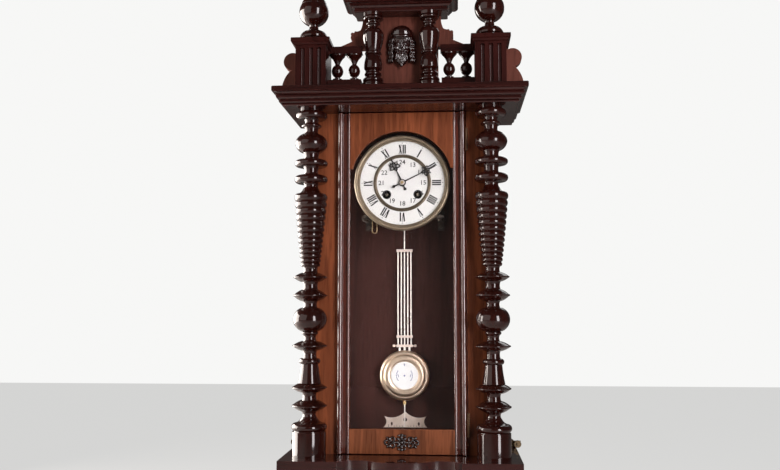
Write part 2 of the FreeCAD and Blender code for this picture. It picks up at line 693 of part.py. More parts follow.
arch_top = d.under_cornice - d.door_clear
arch_side = math.sqrt(d.arch_radius ** 2 - d.arch_foot ** 2)
ARCH = [(-d.opening_half, d.arch_foot), (-arch_side, d.arch_foot),
        (0, d.arch_radius, arch_side, d.arch_foot), (d.opening_half, d.arch_foot),
        (d.opening_half, arch_top), (-d.opening_half, arch_top)]
padded("door_arch_panel", "XZ_Plane", outline(ARCH), "panel_front - panel_back",
       ("0", "-panel_back", "-dial_drop"))

box("door_bottom_rail", ("-opening_half", "opening_half"), ("-panel_front", "-panel_back"),
    ("base_top + door_clear", "rail_top"))
box("door_glass", ("-opening_half", "opening_half"), ("-panel_back", "pane_thick - panel_back"),
    ("base_top + 12", "under_cornice - 8"))

# pierced rosette: a ring of four petals and two leaf sprays, on a flat back
petals = [Part.makeCylinder(4.2, 5, Vector(0, 0, 0))]
for index in range(4):
    angle = math.radians(45 + 90 * index)
    petals.append(Part.makeCylinder(4.6, 4, Vector(7 * math.cos(angle), 7 * math.sin(angle), 0)))
for sign in (-1, 1):
    for out, up, size in ((14, 0, 4.4), (20, 4.5, 4), (20, -4.5, 4), (26.5, 0, 4.6)):
        petals.append(Part.makeCylinder(size, 3.4, Vector(sign * out, up, 0)))
for sign in (-1, 1):
    petals.append(Part.makeCylinder(3.6, 3.4, Vector(0, sign * 11.6, 0)))
ornament = fused(petals)
ornament.rotate(Vector(0, 0, 0), Vector(1, 0, 0), 90)
ornament.translate(Vector(0, -d.panel_front, level((d.rail_top + d.base_top) / 2)))
feature("door_ornament", ornament)

# butt hinges in the gap at the right edge: the pin and two knuckles stay on the case
hinge_x = d.door_half + d.door_gap / 2 + 1.5
hinge_far = d.door_front + 0.4
leaf_thick = 0.8
third = d.hinge_height / 3
stile_edge = d.door_half + d.door_gap
HINGE_INSET = 52


def knuckle(radius, start, length):
    return upright(radius, hinge_x, start, start + length, hinge_far)


case_leaves = []
door_leaves = []
for middle in (d.under_cornice - HINGE_INSET, d.base_top + HINGE_INSET):
    low = middle - d.hinge_height / 2
    case_leaf = block(stile_edge - leaf_thick, stile_edge, d.stile_front - 14,
                      hinge_far - 1, low, low + d.hinge_height)
    door_leaf = block(d.door_half, d.door_half + leaf_thick, d.stile_front - 2,
                      hinge_far - 1.9, low, low + d.hinge_height)
    door_arm = block(d.door_half, hinge_x - d.hinge_pin_radius - 0.3, hinge_far - 1.9,
                     hinge_far + 0.5, low + third, low + 2 * third)
    clear_knuckle = knuckle(d.hinge_radius + 0.2, low + third, third)
    case_part = fused([case_leaf, knuckle(d.hinge_radius, low, third),
                       knuckle(d.hinge_radius, low + 2 * third, third)])
    case_part = case_part.cut(clear_knuckle)
    pin = knuckle(d.hinge_pin_radius, low, d.hinge_height)
    case_leaves.append(fused([case_part, pin]))
    door_part = fused([door_arm, knuckle(d.hinge_radius, low + third + 0.1, third - 0.2)])
    door_part = door_part.cut(knuckle(d.hinge_pin_radius + d.fit_gap, low, d.hinge_height))
    for start in (low, low + 2 * third):
        door_leaf = door_leaf.cut(knuckle(d.hinge_radius + 0.2, start, third))
    door_leaves.append(fused([door_leaf, door_part]))
feature("case_hinges", Part.makeCompound(case_leaves))
feature("door_hinges", Part.makeCompound(door_leaves))

# ---------------------------------------------------------------- the dial
face = -d.dial_front
rim = face - d.bezel_height
bezel = spun("dial_bezel_ring", [
    (d.bezel_inner, face), (d.bezel_inner, rim + 4.5),
    (d.bezel_inner + 1.4, rim + 3, d.bezel_inner + 2.6, rim + 3.6), (d.bezel_inner + 3.4, rim + 1.6),
    (d.bezel_outer - 3, rim - 0.9, d.bezel_outer - 0.6, rim + 2.2), (d.bezel_outer, rim + 3.4),
    (d.bezel_outer, face + 3), (d.dial_radius + 0.4, face + 3), (d.dial_radius + 0.4, face)])
inner_ring = spun("dial_inner_ring", [
    (d.ring_inner, face), (d.ring_inner, face - 1.6),
    ((d.ring_inner + d.ring_outer) / 2, face - 2.6, d.ring_outer, face - 1.6),
    (d.ring_outer, face)])
together("dial_rings", [bezel, inner_ring])

PIPE_HOLE_RADIUS = 4.2
dial = rod_y(d.dial_radius, 0, 0, d.dial_front - d.dial_thick, d.dial_front)
dial = dial.cut(rod_y(PIPE_HOLE_RADIUS, 0, 0, 0, 2 * d.dial_front))
for sign in (-1, 1):
    dial = dial.cut(rod_y(d.arbor_hole, sign * d.arbor_side, -d.arbor_drop, 0,
                          2 * d.dial_front))
feature("dial_plate", dial)

# ---------------------------------------------------------------- the movement
plate_front = d.back_plate + 2 * d.plate_thick + d.plate_gap
inside_back = d.back_plate + d.plate_thick
inside_front = inside_back + d.plate_gap
GREAT_TEETH = 60
CENTRE_LEAVES = 12
reach_centre = math.hypot(d.arbor_side, d.arbor_drop)
great_module = 2 * reach_centre / (GREAT_TEETH + CENTRE_LEAVES)
CENTRE_TEETH = 64
THIRD_LEAVES = 8
THIRD_TEETH = 60
ESCAPE_LEAVES = 8
centre_module = 0.6
third_module = 0.5
third_reach = centre_module * (CENTRE_TEETH + THIRD_LEAVES) / 2
escape_reach = third_module * (THIRD_TEETH + ESCAPE_LEAVES) / 2
third_z = (third_reach ** 2 - escape_reach ** 2 + d.escape_height ** 2) / (2 * d.escape_height)
third_x = -math.sqrt(third_reach ** 2 - third_z ** 2)
CANNON_TEETH = 12
MINUTE_TEETH = 36
MINUTE_LEAVES = 10
HOUR_TEETH = 40
cannon_module = 0.5
minute_x = cannon_module * (CANNON_TEETH + MINUTE_TEETH) / 2
hour_module = 2 * minute_x / (MINUTE_LEAVES + HOUR_TEETH)
hammer_x = -50
hammer_z = -46


def gear(teeth, module, phase, near, far, x, z, slim=0.36):
    """Straight-toothed wheel; phase is the clockwise angle of one tooth from 12 o'clock."""
    pitch_radius = teeth * module / 2
    root = pitch_radius - 1.25 * module
    tip = pitch_radius + 0.8 * module
    pitch = 2 * math.pi / teeth
    steps = []
    for index in range(teeth):
        middle = math.radians(phase) + index * pitch
        corners = []
        for radius, share in ((root, slim * 0.76), (pitch_radius, slim / 2), (tip, slim * 0.2)):
            corners.append((radius, share * pitch))
        points = [(radius, middle - half) for radius, half in corners]
        points += [(radius, middle + half) for radius, half in reversed(corners)]
        steps += [(radius * math.sin(angle), radius * math.cos(angle))
                  for radius, angle in points]
    return prism(steps, Vector(0, 0, far - near), Vector(x, -near, level(z)),
                 (Vector(1, 0, 0), 90))


def mesh_phase(driver_phase, driver_teeth, driven_teeth, bearing):
    """Phase that puts a gap of the driven wheel on a tooth of the driver along a bearing."""
    driver_pitch = 360 / driver_teeth
    driven_pitch = 360 / driven_teeth
    ahead = (bearing - driver_phase) / driver_pitch
    return bearing + 180 + (ahead + 0.5) * driven_pitch


def bearing_to(x0, z0, x1, z1):
    return math.degrees(math.atan2(x1 - x0, z1 - z0))


def arbor(x, z, radius, near, far):
    """Arbor between the plates with a pivot at each end."""
    return [rod_y(radius, x, z, near, far),
            rod_y(d.pivot_radius, x, z, d.back_plate, plate_front)]


TRAIN_RADIUS = 1.6
centre_phase = 0
centre_pinion_phase = mesh_phase(0, GREAT_TEETH, CENTRE_LEAVES,
                                 bearing_to(d.arbor_side, -d.arbor_drop, 0, 0))
cannon_radius = 2.3
hour_pipe_radius = 3.6
centre_parts = arbor(0, 0, 2.2, inside_back + 0.3, inside_front - 0.3)
centre_parts.append(gear(CENTRE_LEAVES, great_module, centre_pinion_phase,
                         inside_back + 0.6, inside_back + 4, 0, 0))
centre_parts.append(gear(CENTRE_TEETH, centre_module, centre_phase, inside_front - 3.2,
                         inside_front - 1.6, 0, 0))
hand_plane = d.dial_front + 5.6
centre_parts.append(rod_y(2, 0, 0, inside_front - 0.3, plate_front + 0.4))
centre_parts.append(gear(CANNON_TEETH, cannon_module, 0, plate_front + 0.4,
                         plate_front + 2.2, 0, 0))
centre_parts.append(rod_y(cannon_radius, 0, 0, plate_front + 0.4, hand_plane + 2.4))
feature("centre_arbor", fused(centre_parts))

third_phase = mesh_phase(centre_phase, CENTRE_TEETH, THIRD_LEAVES,
                         bearing_to(0, 0, third_x, third_z))
third_parts = arbor(third_x, third_z, TRAIN_RADIUS, inside_back + 0.3, inside_front - 0.3)
third_parts.append(gear(THIRD_LEAVES, centre_module, third_phase, inside_front - 4.4,
                        inside_front - 0.8, third_x, third_z))
third_parts.append(gear(THIRD_TEETH, third_module, 0, inside_back + 4.6, inside_back + 6,
                        third_x, third_z))
feature("third_wheel", fused(third_parts))

escape_phase = mesh_phase(0, THIRD_TEETH, ESCAPE_LEAVES,
                          bearing_to(third_x, third_z, 0, d.escape_height))
escape_parts = arbor(0, d.escape_height, TRAIN_RADIUS * 0.8, inside_back + 0.3,
                     inside_front - 0.3)
escape_parts.append(gear(ESCAPE_LEAVES, third_module, escape_phase, inside_back + 3.6,
                         inside_back + 7, 0, d.escape_height))
ESCAPE_TEETH = 30
escape_radius = 12
escape_steps = []
for index in range(ESCAPE_TEETH):
    angle = 2 * math.pi * index / ESCAPE_TEETH
    for radius, lead in ((escape_radius - 2.2, 0), (escape_radius, 0.02),
                         (escape_radius, 0.045), (escape_radius - 2.2, 0.14)):
        escape_steps.append((radius * math.sin(angle + lead), radius * math.cos(angle + lead)))
escape_parts.append(prism(escape_steps, Vector(0, 0, 1.4),
                          Vector(0, -(inside_back + 10), level(d.escape_height)),
                          (Vector(1, 0, 0), 90)))
feature("escape_wheel", fused(escape_parts))

# anchor: hub, two arms with pallets that stay clear of the wheel's tips, and the crutch
pallet_near = inside_back + 9.4
pallet_far = inside_back + 12.6
anchor_parts = [rod_y(TRAIN_RADIUS, 0, d.anchor_height, inside_back + 0.3, inside_front - 0.3),
                rod_y(4, 0, d.anchor_height, pallet_near, pallet_far)]
anchor_parts.append(rod_y(d.pivot_radius, 0, d.anchor_height, d.back_plate - 5, plate_front))
pallet_span = 11.5
pallet_level = d.escape_height + 9
for sign in (-1, 1):
    arm = Part.makePolygon([Vector(sign * 1, 0, level(d.anchor_height + 3)),
                            Vector(sign * (pallet_span + 3), 0, level(pallet_level)),
                            Vector(sign * (pallet_span + 1), 0, level(pallet_level - 4)),
                            Vector(sign * (pallet_span - 1), 0, level(pallet_level)),
                            Vector(sign * 1, 0, level(d.anchor_height - 3)),
                            Vector(sign * 1, 0, level(d.anchor_height + 3))])
    solid = Part.Face(arm).extrude(Vector(0, -(pallet_far - pallet_near), 0))
    solid.translate(Vector(0, -pallet_near, 0))
    anchor_parts.append(solid)
crutch_low = -6
crutch_far = d.back_plate - 1.6
anchor_parts.append(rod_y(3, 0, d.anchor_height, crutch_far - 2, crutch_far))
anchor_parts.append(block(-1, 1, crutch_far - 2, crutch_far, crutch_low, d.anchor_height))
fork_gap = d.rod_radius + 0.3
for sign in (-1, 1):
    near_x = min(sign * fork_gap, sign * (fork_gap + 1.4))
    anchor_parts.append(block(near_x, near_x + 1.4, d.pendulum_depth - 3, crutch_far - 1,
                              crutch_low, crutch_low + 2))
anchor_parts.append(block(-(fork_gap + 1.4), fork_gap + 1.4, crutch_far - 2, crutch_far,
                          crutch_low, crutch_low + 2))
feature("anchor", fused(anchor_parts))

# barrels with their great wheels; the going barrel is on the right, the strike on the left
going_x = d.arbor_side
strike_x = -d.arbor_side
arbor_bore = d.arbor_radius + d.fit_gap


def barrel(x, wheel_near, drum_near, drum_far):
    parts = [rod_y(d.drum_radius, x, -d.arbor_drop, drum_near, drum_far),
             gear(GREAT_TEETH, great_module, 0, wheel_near, wheel_near + 2.4, x, -d.arbor_drop),
             rod_y(d.drum_radius * 0.5, x, -d.arbor_drop, min(wheel_near, drum_near),
                   max(wheel_near + 2.4, drum_far))]
    return fused(parts).cut(rod_y(arbor_bore, x, -d.arbor_drop, 0, 2 * plate_front))


feature("time_barrel", barrel(going_x, inside_back + 1, inside_back + 7, inside_front - 9))
feature("strike_barrel", barrel(strike_x, inside_front - 8, inside_back + 8,
                                inside_front - 11))

for label, place in (("time", going_x), ("strike", strike_x)):
    shaft = rod_y(d.arbor_radius, place, -d.arbor_drop, inside_back + 0.3, inside_front - 0.3)
    ends = rod_y(d.arbor_radius * 0.7, place, -d.arbor_drop, d.back_plate, plate_front)
    half = d.arbor_square / 2
    square = block(place - half, place + half, plate_front, d.dial_front - 0.6,
                   -d.arbor_drop - half, -d.arbor_drop + half)
    feature(label + "_winding_arbor", fused([shaft, ends, square]))

PIVOTS = [(0, 0, 2), (third_x, third_z, d.pivot_radius), (0, d.escape_height, d.pivot_radius),
          (0, d.anchor_height, d.pivot_radius), (going_x, -d.arbor_drop, d.arbor_radius * 0.7),
          (strike_x, -d.arbor_drop, d.arbor_radius * 0.7), (hammer_x, hammer_z, d.pivot_radius)]
plates = []
for near in (d.back_plate, inside_front):
    plate = block(-d.plate_half, d.plate_half, near, near + d.plate_thick, d.plate_low,
                  d.plate_high)
    for x, z, radius in PIVOTS:
        if x == 0 and z == 0 and near == d.back_plate:
            radius = d.pivot_radius
        plate = plate.cut(rod_y(radius + d.fit_gap, x, z, near - 1, near + 4))
    plates.append(plate)
PILLARS = [(sx * (d.plate_half - 6), z) for sx in (-1, 1)
           for z in (d.plate_low + 5, d.plate_high - 6)]
pillars = [rod_y(3.4, x, z, inside_back, inside_front) for x, z in PILLARS]
FEET = [(-44, 34), (44, 34), (-46, -52), (46, -52)]
feet = []
for x, z in FEET:
    feet.append(rod_y(3, x, z, plate_front, d.dial_front - d.dial_thick))
stud_radius = 1.2
plates[1] = fused([plates[1], rod_y(stud_radius, minute_x, 0, plate_front, plate_front + 4.6)])

# loop of wire under the front plate, pulled by hand to let the strike go
LOOP_MIDDLE = -50
LOOP_HALF = 4.2
LOOP_LOW = -86
LOOP_TOP = d.plate_low + 1.5
loop_radius = 0.9
loop_depth = plate_front + 3.5
bend = Part.makeTorus(LOOP_HALF, loop_radius, Vector(LOOP_MIDDLE, -loop_depth, level(LOOP_LOW)),
                      Vector(0, 1, 0))
bend = bend.common(block(LOOP_MIDDLE - 10, LOOP_MIDDLE + 10, 0, 2 * loop_depth, LOOP_LOW - 10,
                         LOOP_LOW))
loop_parts = [bend]
for side in (LOOP_MIDDLE - LOOP_HALF, LOOP_MIDDLE + LOOP_HALF):
    loop_parts.append(upright(loop_radius, side, LOOP_LOW, LOOP_TOP, loop_depth))
    loop_parts.append(rod_y(loop_radius, side, LOOP_TOP, plate_front, loop_depth))
feature("movement_frame", Part.makeCompound(plates + pillars + feet + [fused(loop_parts)]))

# motion work between the front plate and the dial
minute_phase = mesh_phase(0, CANNON_TEETH, MINUTE_TEETH, 90)
minute_parts = [gear(MINUTE_TEETH, cannon_module, minute_phase, plate_front + 0.5,
                     plate_front + 1.9, minute_x, 0),
                gear(MINUTE_LEAVES, hour_module, 0, plate_front + 1.9, plate_front + 4.6,
                     minute_x, 0)]
minute_bore = rod_y(stud_radius + d.fit_gap, minute_x, 0, 0, 2 * plate_front)
feature("minute_wheel", fused(minute_parts).cut(minute_bore))

hour_phase = mesh_phase(0, MINUTE_LEAVES, HOUR_TEETH, -90)
hour_pipe = rod_y(hour_pipe_radius, 0, 0, plate_front + 2.6, d.dial_front + 2.6)
hour_parts = [gear(HOUR_TEETH, hour_module, hour_phase, plate_front + 2.6, plate_front + 4.2,
                   0, 0), hour_pipe]
hour_bore = rod_y(cannon_radius + d.fit_gap, 0, 0, 0, 2 * plate_front)
feature("hour_wheel", fused(hour_parts).cut(hour_bore))


def turned_hand(shape, angle):
    """Turn a hand drawn pointing to XII about the dial's centre, clockwise."""
    shape.rotate(Vector(0, 0, level(0)), Vector(0, 1, 0), angle)
    return shape


def hand(length, head_at, head_size, stem, near, thick, bore, hub):
    """Pierced serpentine hand: tapered tip, ring head with two side rings, stem and tail."""
    far = near + thick
    parts = [rod_y(hub, 0, 0, near, far), block(-stem, stem, near, far, 0, head_at),
             block(-stem, stem, near, far, -hub - 9, 0), rod_y(stem * 2.2, 0, -hub - 9, near, far)]
    for x, z, size in ((0, head_at, head_size), (-head_size * 0.95, head_at - 1.5, head_size * 0.55),
                       (head_size * 0.95, head_at - 1.5, head_size * 0.55)):
        parts.append(rod_y(size, x, z, near, far).cut(rod_y(size - 1.3, x, z, near, far)))
    tip = Part.Face(Part.makePolygon([
        Vector(-stem * 1.6, -near, level(head_at + head_size - 0.8)),
        Vector(-0.35, -near, level(length)), Vector(0.35, -near, level(length)),
        Vector(stem * 1.6, -near, level(head_at + head_size - 0.8)),
        Vector(-stem * 1.6, -near, level(head_at + head_size - 0.8))]))
    parts.append(tip.extrude(Vector(0, -thick, 0)))
    return fused(parts).cut(rod_y(bore, 0, 0, 0, 2 * far))


hour_hand = hand(d.hour_reach, 36, 7, 0.9, d.dial_front + 2.6, 0.8, cannon_radius + 0.4, 6.4)
feature("hour_hand", turned_hand(hour_hand, d.hour_angle))
minute_hand = hand(d.minute_reach, 48, 6.2, 0.8, hand_plane, 0.8, cannon_radius, 5)
feature("minute_hand", turned_hand(minute_hand, d.minute_angle))

# hammer: arbor between the plates and a stem behind them with the head beside the gong
gong_radius = 52
gong_plane = 22
gong_z = -8
hammer_parts = [rod_y(TRAIN_RADIUS, hammer_x, hammer_z, inside_back + 0.3, inside_front - 0.3),
                rod_y(d.pivot_radius, hammer_x, hammer_z, gong_plane - 3, plate_front)]
head_x = -(gong_radius + 12)
stem = Part.makeCylinder(1.2, math.hypot(head_x - hammer_x, gong_z - hammer_z),
                         Vector(hammer_x, -gong_plane, level(hammer_z)),
                         Vector(head_x - hammer_x, 0, gong_z - hammer_z))
hammer_parts.append(stem)
hammer_parts.append(rod_y(3, hammer_x, hammer_z, gong_plane - 3, gong_plane + 3))
hammer_parts.append(Part.makeCylinder(4.5, 15, Vector(head_x - 6, -gong_plane, level(gong_z)),
                                      Vector(1, 0, 0)))
feature("hammer", fused(hammer_parts))

# gong: flat coil of wire on an iron block screwed to the backboard
wire = 1.4
coil_parts = []
for turn in range(3):
    radius = gong_radius - wire - turn * 6
    ring = Part.makeTorus(radius, wire, Vector(0, -gong_plane, level(gong_z)), Vector(0, 1, 0))
    coil_parts.append(ring)
spoke = Part.makeCylinder(wire, 16, Vector(0, -gong_plane, level(gong_z + gong_radius - 17)),
                          Vector(0, 0, 1))
coil = fused(coil_parts + [spoke])
iron = fused([block(-9, 9, d.back_thick, gong_plane + 6, gong_z + gong_radius - wire - 18,
                    gong_z + gong_radius - wire - 13.6),
              block(-5, 5, d.back_thick, gong_plane + 3, gong_z + gong_radius - 30,
                    gong_z + gong_radius - wire - 13.6)])
iron = iron.cut(coil)
feature("gong", Part.makeCompound([coil, iron]))

# iron bracket that carries the movement: straps on the backboard, two arms and a seat
BRACKET_SIDE = 68
STRAP_THICK = 3
STRAP_SCREWS = (-72, -32)
STRAP_SCREW_RADIUS = 3.4
SEAT_TOP = d.plate_low
THUMB_RADIUS = 1.6
THUMB_DEPTH = inside_front - 8
bracket_parts = [block(-BRACKET_SIDE - 6, BRACKET_SIDE + 6, d.back_plate - 2, plate_front + 2,
                       SEAT_TOP - 2.5, SEAT_TOP)]
for sign in (-1, 1):
    near_x = sign * BRACKET_SIDE - 6
    bracket_parts.append(block(near_x, near_x + 12, d.back_thick, d.back_thick + STRAP_THICK,
                               -78, -26))
    bracket_parts.append(block(near_x, near_x + 12, d.back_thick, plate_front + 2,
                               SEAT_TOP - 6, SEAT_TOP - 2.5))
bracket = fused(bracket_parts)
for sign in (-1, 1):
    bracket = bracket.cut(upright(THUMB_RADIUS, sign * BRACKET_SIDE, SEAT_TOP - 10, SEAT_TOP + 10,
                                  THUMB_DEPTH))
feature("movement_bracket", bracket)

# the cock that holds the suspension spring, on the back plate
cock_parts = [block(-12, 12, d.back_plate - 3, d.back_plate, d.anchor_height + 5, d.plate_high),
              block(-6, 6, d.pendulum_depth - 3, d.back_plate - 3, d.anchor_height + 5,
                    d.anchor_height + 9)]
feature("suspension_cock", fused(cock_parts))

# ---------------------------------------------------------------- the pendulum
bar_depth = 3
bar_half_height = 2.2
plane = d.pendulum_depth
ROD_COUNT = 5
rod_pitch = (2 * d.bar_half - 6) / (ROD_COUNT - 1)
leaf = block(-2.6, 2.6, plane - 0.15, plane + 0.15, d.anchor_height - 16, d.anchor_height + 4.6)
hook = block(-4, 4, plane - 1.5, plane + 1.5, d.anchor_height - 20, d.anchor_height - 14)
top_rod = upright(d.rod_radius, 0, d.upper_bar, d.anchor_height - 18, plane)
rods = [fused([leaf, hook, top_rod])]
grid_half = rod_pitch * (ROD_COUNT - 1) / 2
GRID_RADIUS = 1.15
for index in range(ROD_COUNT):
    place = index * rod_pitch - grid_half
    for low, high in ((d.middle_bar, d.upper_bar), (d.lower_bar, d.middle_bar)):
        rods.append(upright(GRID_RADIUS, place, low + bar_half_height, high - bar_half_height,
                            plane))
bob_top = d.bob_height + d.bob_radius
bob_rod_radius = 1.9
BOB_ROD_PLACES = (-rod_pitch * 1.5, 0, rod_pitch * 1.5)
for offset in BOB_ROD_PLACES:
    rods.append(upright(bob_rod_radius, offset, bob_top - 6, d.lower_bar - bar_half_height, plane))
pointer_radius = 1.1
pointer = upright(pointer_radius, 0, d.pointer_low, d.bob_height - d.bob_radius + 2, plane)
rods.append(pointer)
feature("pendulum_rods", Part.makeCompound(rods))

bars = []
for height in (d.upper_bar, d.middle_bar, d.lower_bar):
    bar = block(-d.bar_half, d.bar_half, plane - bar_depth, plane + bar_depth,
                height - bar_half_height, height + bar_half_height)
    if height == d.lower_bar:
        for sign in (-1, 1):
            outward = Vector(sign, 0, 0)
            knob = Part.makeSphere(2.6, Vector(sign * (d.bar_half + 4.6), -plane, level(height)),
                                   outward)
            neck = Part.makeCylinder(0.9, 3, Vector(sign * (d.bar_half - 0.5), -plane,
                                                    level(height)), outward)
            bar = fused([bar, neck, knob])
    bars.append(bar)
bars[0] = bars[0].cut(top_rod)
feature("pendulum_bars", Part.makeCompound(bars))

bob_half = d.bob_thick / 2
BEAD_WIDTH = 11
bead_start = d.disc_radius + 1
bead_end = bead_start + BEAD_WIDTH
BOB = [(d.disc_radius, bob_half - 3), (d.disc_radius, -bob_half + 3),
       (bead_start, -bob_half + 1.6),
       (bead_start + BEAD_WIDTH / 2, -bob_half, bead_end, -bob_half + 2.4),
       (bead_end + 1.2, -bob_half + 4), (d.bob_radius - 4, -bob_half + 4.6, d.bob_radius, 0),
       (d.bob_radius - 5, bob_half - 2, d.disc_radius + 1.5, bob_half)]
bob_place = ("0", "-pendulum_depth", "bob_height - dial_drop")
shell = spun("bob_ring", BOB, bob_place)
rods_clear = [upright(bob_rod_radius, offset, bob_top - 6, bob_top + 6, plane)
              for offset in BOB_ROD_PLACES]
doc.recompute()
bob = shell.Shape.copy()
for tool in rods_clear + [pointer]:
    bob = bob.cut(tool)
feature("bob_shell", bob)
spun("bob_disc", [(0, bob_half - 3), (d.disc_radius, bob_half - 3),
                  (d.disc_radius, -bob_half + 3), (d.disc_radius - 2, -bob_half + 1.6),
                  (0, -bob_half + 1.6)], bob_place)

bob_foot = d.bob_height - d.bob_radius
nut = upright(3.4, 0, bob_foot - 6, bob_foot - 0.6, plane)
feature("rating_nut", nut.cut(upright(pointer_radius + d.fit_gap, 0, d.pointer_low,
                                      d.bob_height, plane)))

# ---------------------------------------------------------------- beat scale
SCALE = mirrored_steps([
    (0, -9), (40.5, -9), (35, 0, 39, 11), (20, 9, 0, 20)])
SCALE_THICK = 1.2
SCALE_RISE = 42
scale_face = padded("scale_blank", "XZ_Plane", outline(SCALE), str(SCALE_THICK),
                    ("0", "-back_thick", "base_top + %d - dial_drop" % SCALE_RISE))
doc.recompute()
scale = scale_face.Shape.copy()
scale_middle = d.base_top + SCALE_RISE
scale = scale.cut(rod_y(3.6, 0, scale_middle + 5, 0, 2 * d.back_thick))
SLOT_SIDE = 25
SLOT_RADIUS = 1.8
for sign in (-1, 1):
    for up in (-4, -1.2):
        scale = scale.cut(rod_y(SLOT_RADIUS, sign * SLOT_SIDE, scale_middle + up, 0,
                                2 * d.back_thick))
    scale = scale.cut(block(sign * SLOT_SIDE - SLOT_RADIUS, sign * SLOT_SIDE + SLOT_RADIUS, 0,
                            2 * d.back_thick, scale_middle - 4, scale_middle - 1.2))
feature("beat_scale", scale)

# ---------------------------------------------------------------- hanger, levellers, screws
half = d.hanger_half
plate = block(-half - HANGER_END, half + HANGER_END, 0, d.hanger_thick,
              d.dial_drop - HANGER_RISE, d.dial_drop + HANGER_RISE)
hole = Part.makeCylinder(d.hanger_radius, 40, Vector(0, 0, 0), Vector(0, -1, 0))
slot = Part.makeBox(2 * d.hanger_radius * 0.6, 40, 9, Vector(-d.hanger_radius * 0.6, -40, 0))
hanger = plate.cut(hole).cut(slot)
for sign in (-1, 1):
    hanger = hanger.cut(Part.makeCylinder(SCREW_RADIUS, SCREW_LENGTH,
                                          Vector(sign * (half + HANGER_END / 2), 0, 0),
                                          Vector(0, -1, 0)))
feature("hanger_plate", hanger)

leveller_half = d.base_half + d.leveller_reach
leveller_height = d.base_top + d.leveller_rise
lug_thick = 3
lug_half_height = 5
lug_parts = []
for sign in (-1, 1):
    edges = sorted((sign * (d.case_half + 2), sign * (leveller_half + 6)))
    lug = block(edges[0], edges[1], d.back_thick, d.back_thick + lug_thick,
                leveller_height - lug_half_height, leveller_height + lug_half_height)
    screw_x = sign * leveller_half
    lug_parts.append(lug.cut(rod_y(d.leveller_radius + d.fit_gap, screw_x, leveller_height, 0,
                                   2 * d.stile_front)))
    lug_front = d.back_thick + lug_thick
    screw_parts = [rod_y(d.leveller_radius, screw_x, leveller_height, 0.4, lug_front + 11),
                   rod_y(6.5, screw_x, leveller_height, lug_front + 4, lug_front + 8),
                   rod_y(3.4, screw_x, leveller_height, lug_front + 0.1, lug_front + 4)]
    feature("leveller_left" if sign < 0 else "leveller_right", fused(screw_parts))
feature("leveller_lugs", Part.makeCompound(lug_parts))

THUMB_STEPS = [(THUMB_RADIUS, SEAT_TOP - 8, SEAT_TOP + 1.5), (5.2, SEAT_TOP - 9.5, SEAT_TOP - 6),
               (2.8, SEAT_TOP, SEAT_TOP + 2)]
screws = []
for sign in (-1, 1):
    screws.append(Part.makeCylinder(SCREW_RADIUS, SCREW_LENGTH,
                                    Vector(sign * (half + HANGER_END / 2), 0, 0),
                                    Vector(0, -1, 0)))
    for height in STRAP_SCREWS:
        screws.append(rod_y(STRAP_SCREW_RADIUS, sign * BRACKET_SIDE, height, d.back_thick + STRAP_THICK,
                            d.back_thick + STRAP_THICK + 2))
    thumb_parts = [upright(radius, sign * BRACKET_SIDE, low, high, THUMB_DEPTH)
                   for radius, low, high in THUMB_STEPS]
    screws.append(fused(thumb_parts))
feature("fixing_screws", Part.makeCompound(screws))

# ---------------------------------------------------------------- what is written
NODES = [
    "backboard", "case_boards", "side_frames", "side_glasses", "front_stiles", "column_left",
    "column_right", "main_cornice", "base_moulding", "base_plinth", "console", "pendant_drops",
    "crest_slab", "crest_posts", "post_finials", "gallery_rails", "gallery_spindles",
    "crest_boards", "crest_columns", "carved_head", "pediment_cornice", "pediment_gable",
    "top_finial", "hanger_plate", "fixing_screws", "leveller_lugs", "movement_bracket", "gong",
    "beat_scale", "movement_frame", "dial_plate", "dial_rings", "suspension_cock",
    "case_hinges", "door_stiles", "door_arch_panel", "door_bottom_rail", "door_glass",
    "door_ornament", "door_hinges", "centre_arbor", "minute_hand", "hour_wheel", "hour_hand",
    "minute_wheel", "time_barrel", "third_wheel", "escape_wheel", "anchor", "strike_barrel",
    "hammer", "pendulum_rods", "pendulum_bars", "bob_shell", "bob_disc", "rating_nut",
    "time_winding_arbor", "strike_winding_arbor", "leveller_left", "leveller_right",
]

doc.recompute()
for item in doc.Objects:
    faults = [state for state in item.State if state in ("Invalid", "Error")]
    if faults:
        raise RuntimeError("%s did not compute: %s" % (item.Label, faults))
os.makedirs("parts", exist_ok=True)
for node in NODES:
    shape = doc.getObject(node).Shape
    if shape.isNull() or not shape.isValid():
        raise RuntimeError("%s has no valid shape" % node)
    shape.exportStep("parts/%s.step" % node)
print("nodes written:", len(NODES))
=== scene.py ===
import math

import bpy
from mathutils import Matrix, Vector


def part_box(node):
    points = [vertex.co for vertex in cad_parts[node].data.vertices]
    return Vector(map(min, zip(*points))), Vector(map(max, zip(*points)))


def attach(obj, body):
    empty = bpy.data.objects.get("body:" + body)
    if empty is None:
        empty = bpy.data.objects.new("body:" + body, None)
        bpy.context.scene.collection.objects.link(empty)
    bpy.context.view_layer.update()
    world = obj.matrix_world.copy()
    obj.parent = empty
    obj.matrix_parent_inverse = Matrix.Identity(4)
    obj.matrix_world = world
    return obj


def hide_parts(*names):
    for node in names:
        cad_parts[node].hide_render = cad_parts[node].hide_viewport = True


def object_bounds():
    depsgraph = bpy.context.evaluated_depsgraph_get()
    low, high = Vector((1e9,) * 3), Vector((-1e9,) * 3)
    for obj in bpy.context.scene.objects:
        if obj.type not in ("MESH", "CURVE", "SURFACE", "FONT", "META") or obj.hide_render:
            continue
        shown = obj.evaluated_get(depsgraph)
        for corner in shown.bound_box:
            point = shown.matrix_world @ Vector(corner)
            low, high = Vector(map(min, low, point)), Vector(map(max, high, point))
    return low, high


# Pendulum wall clock. Metres, +Z up, the front faces -Y and the wall is the plane y = 0.

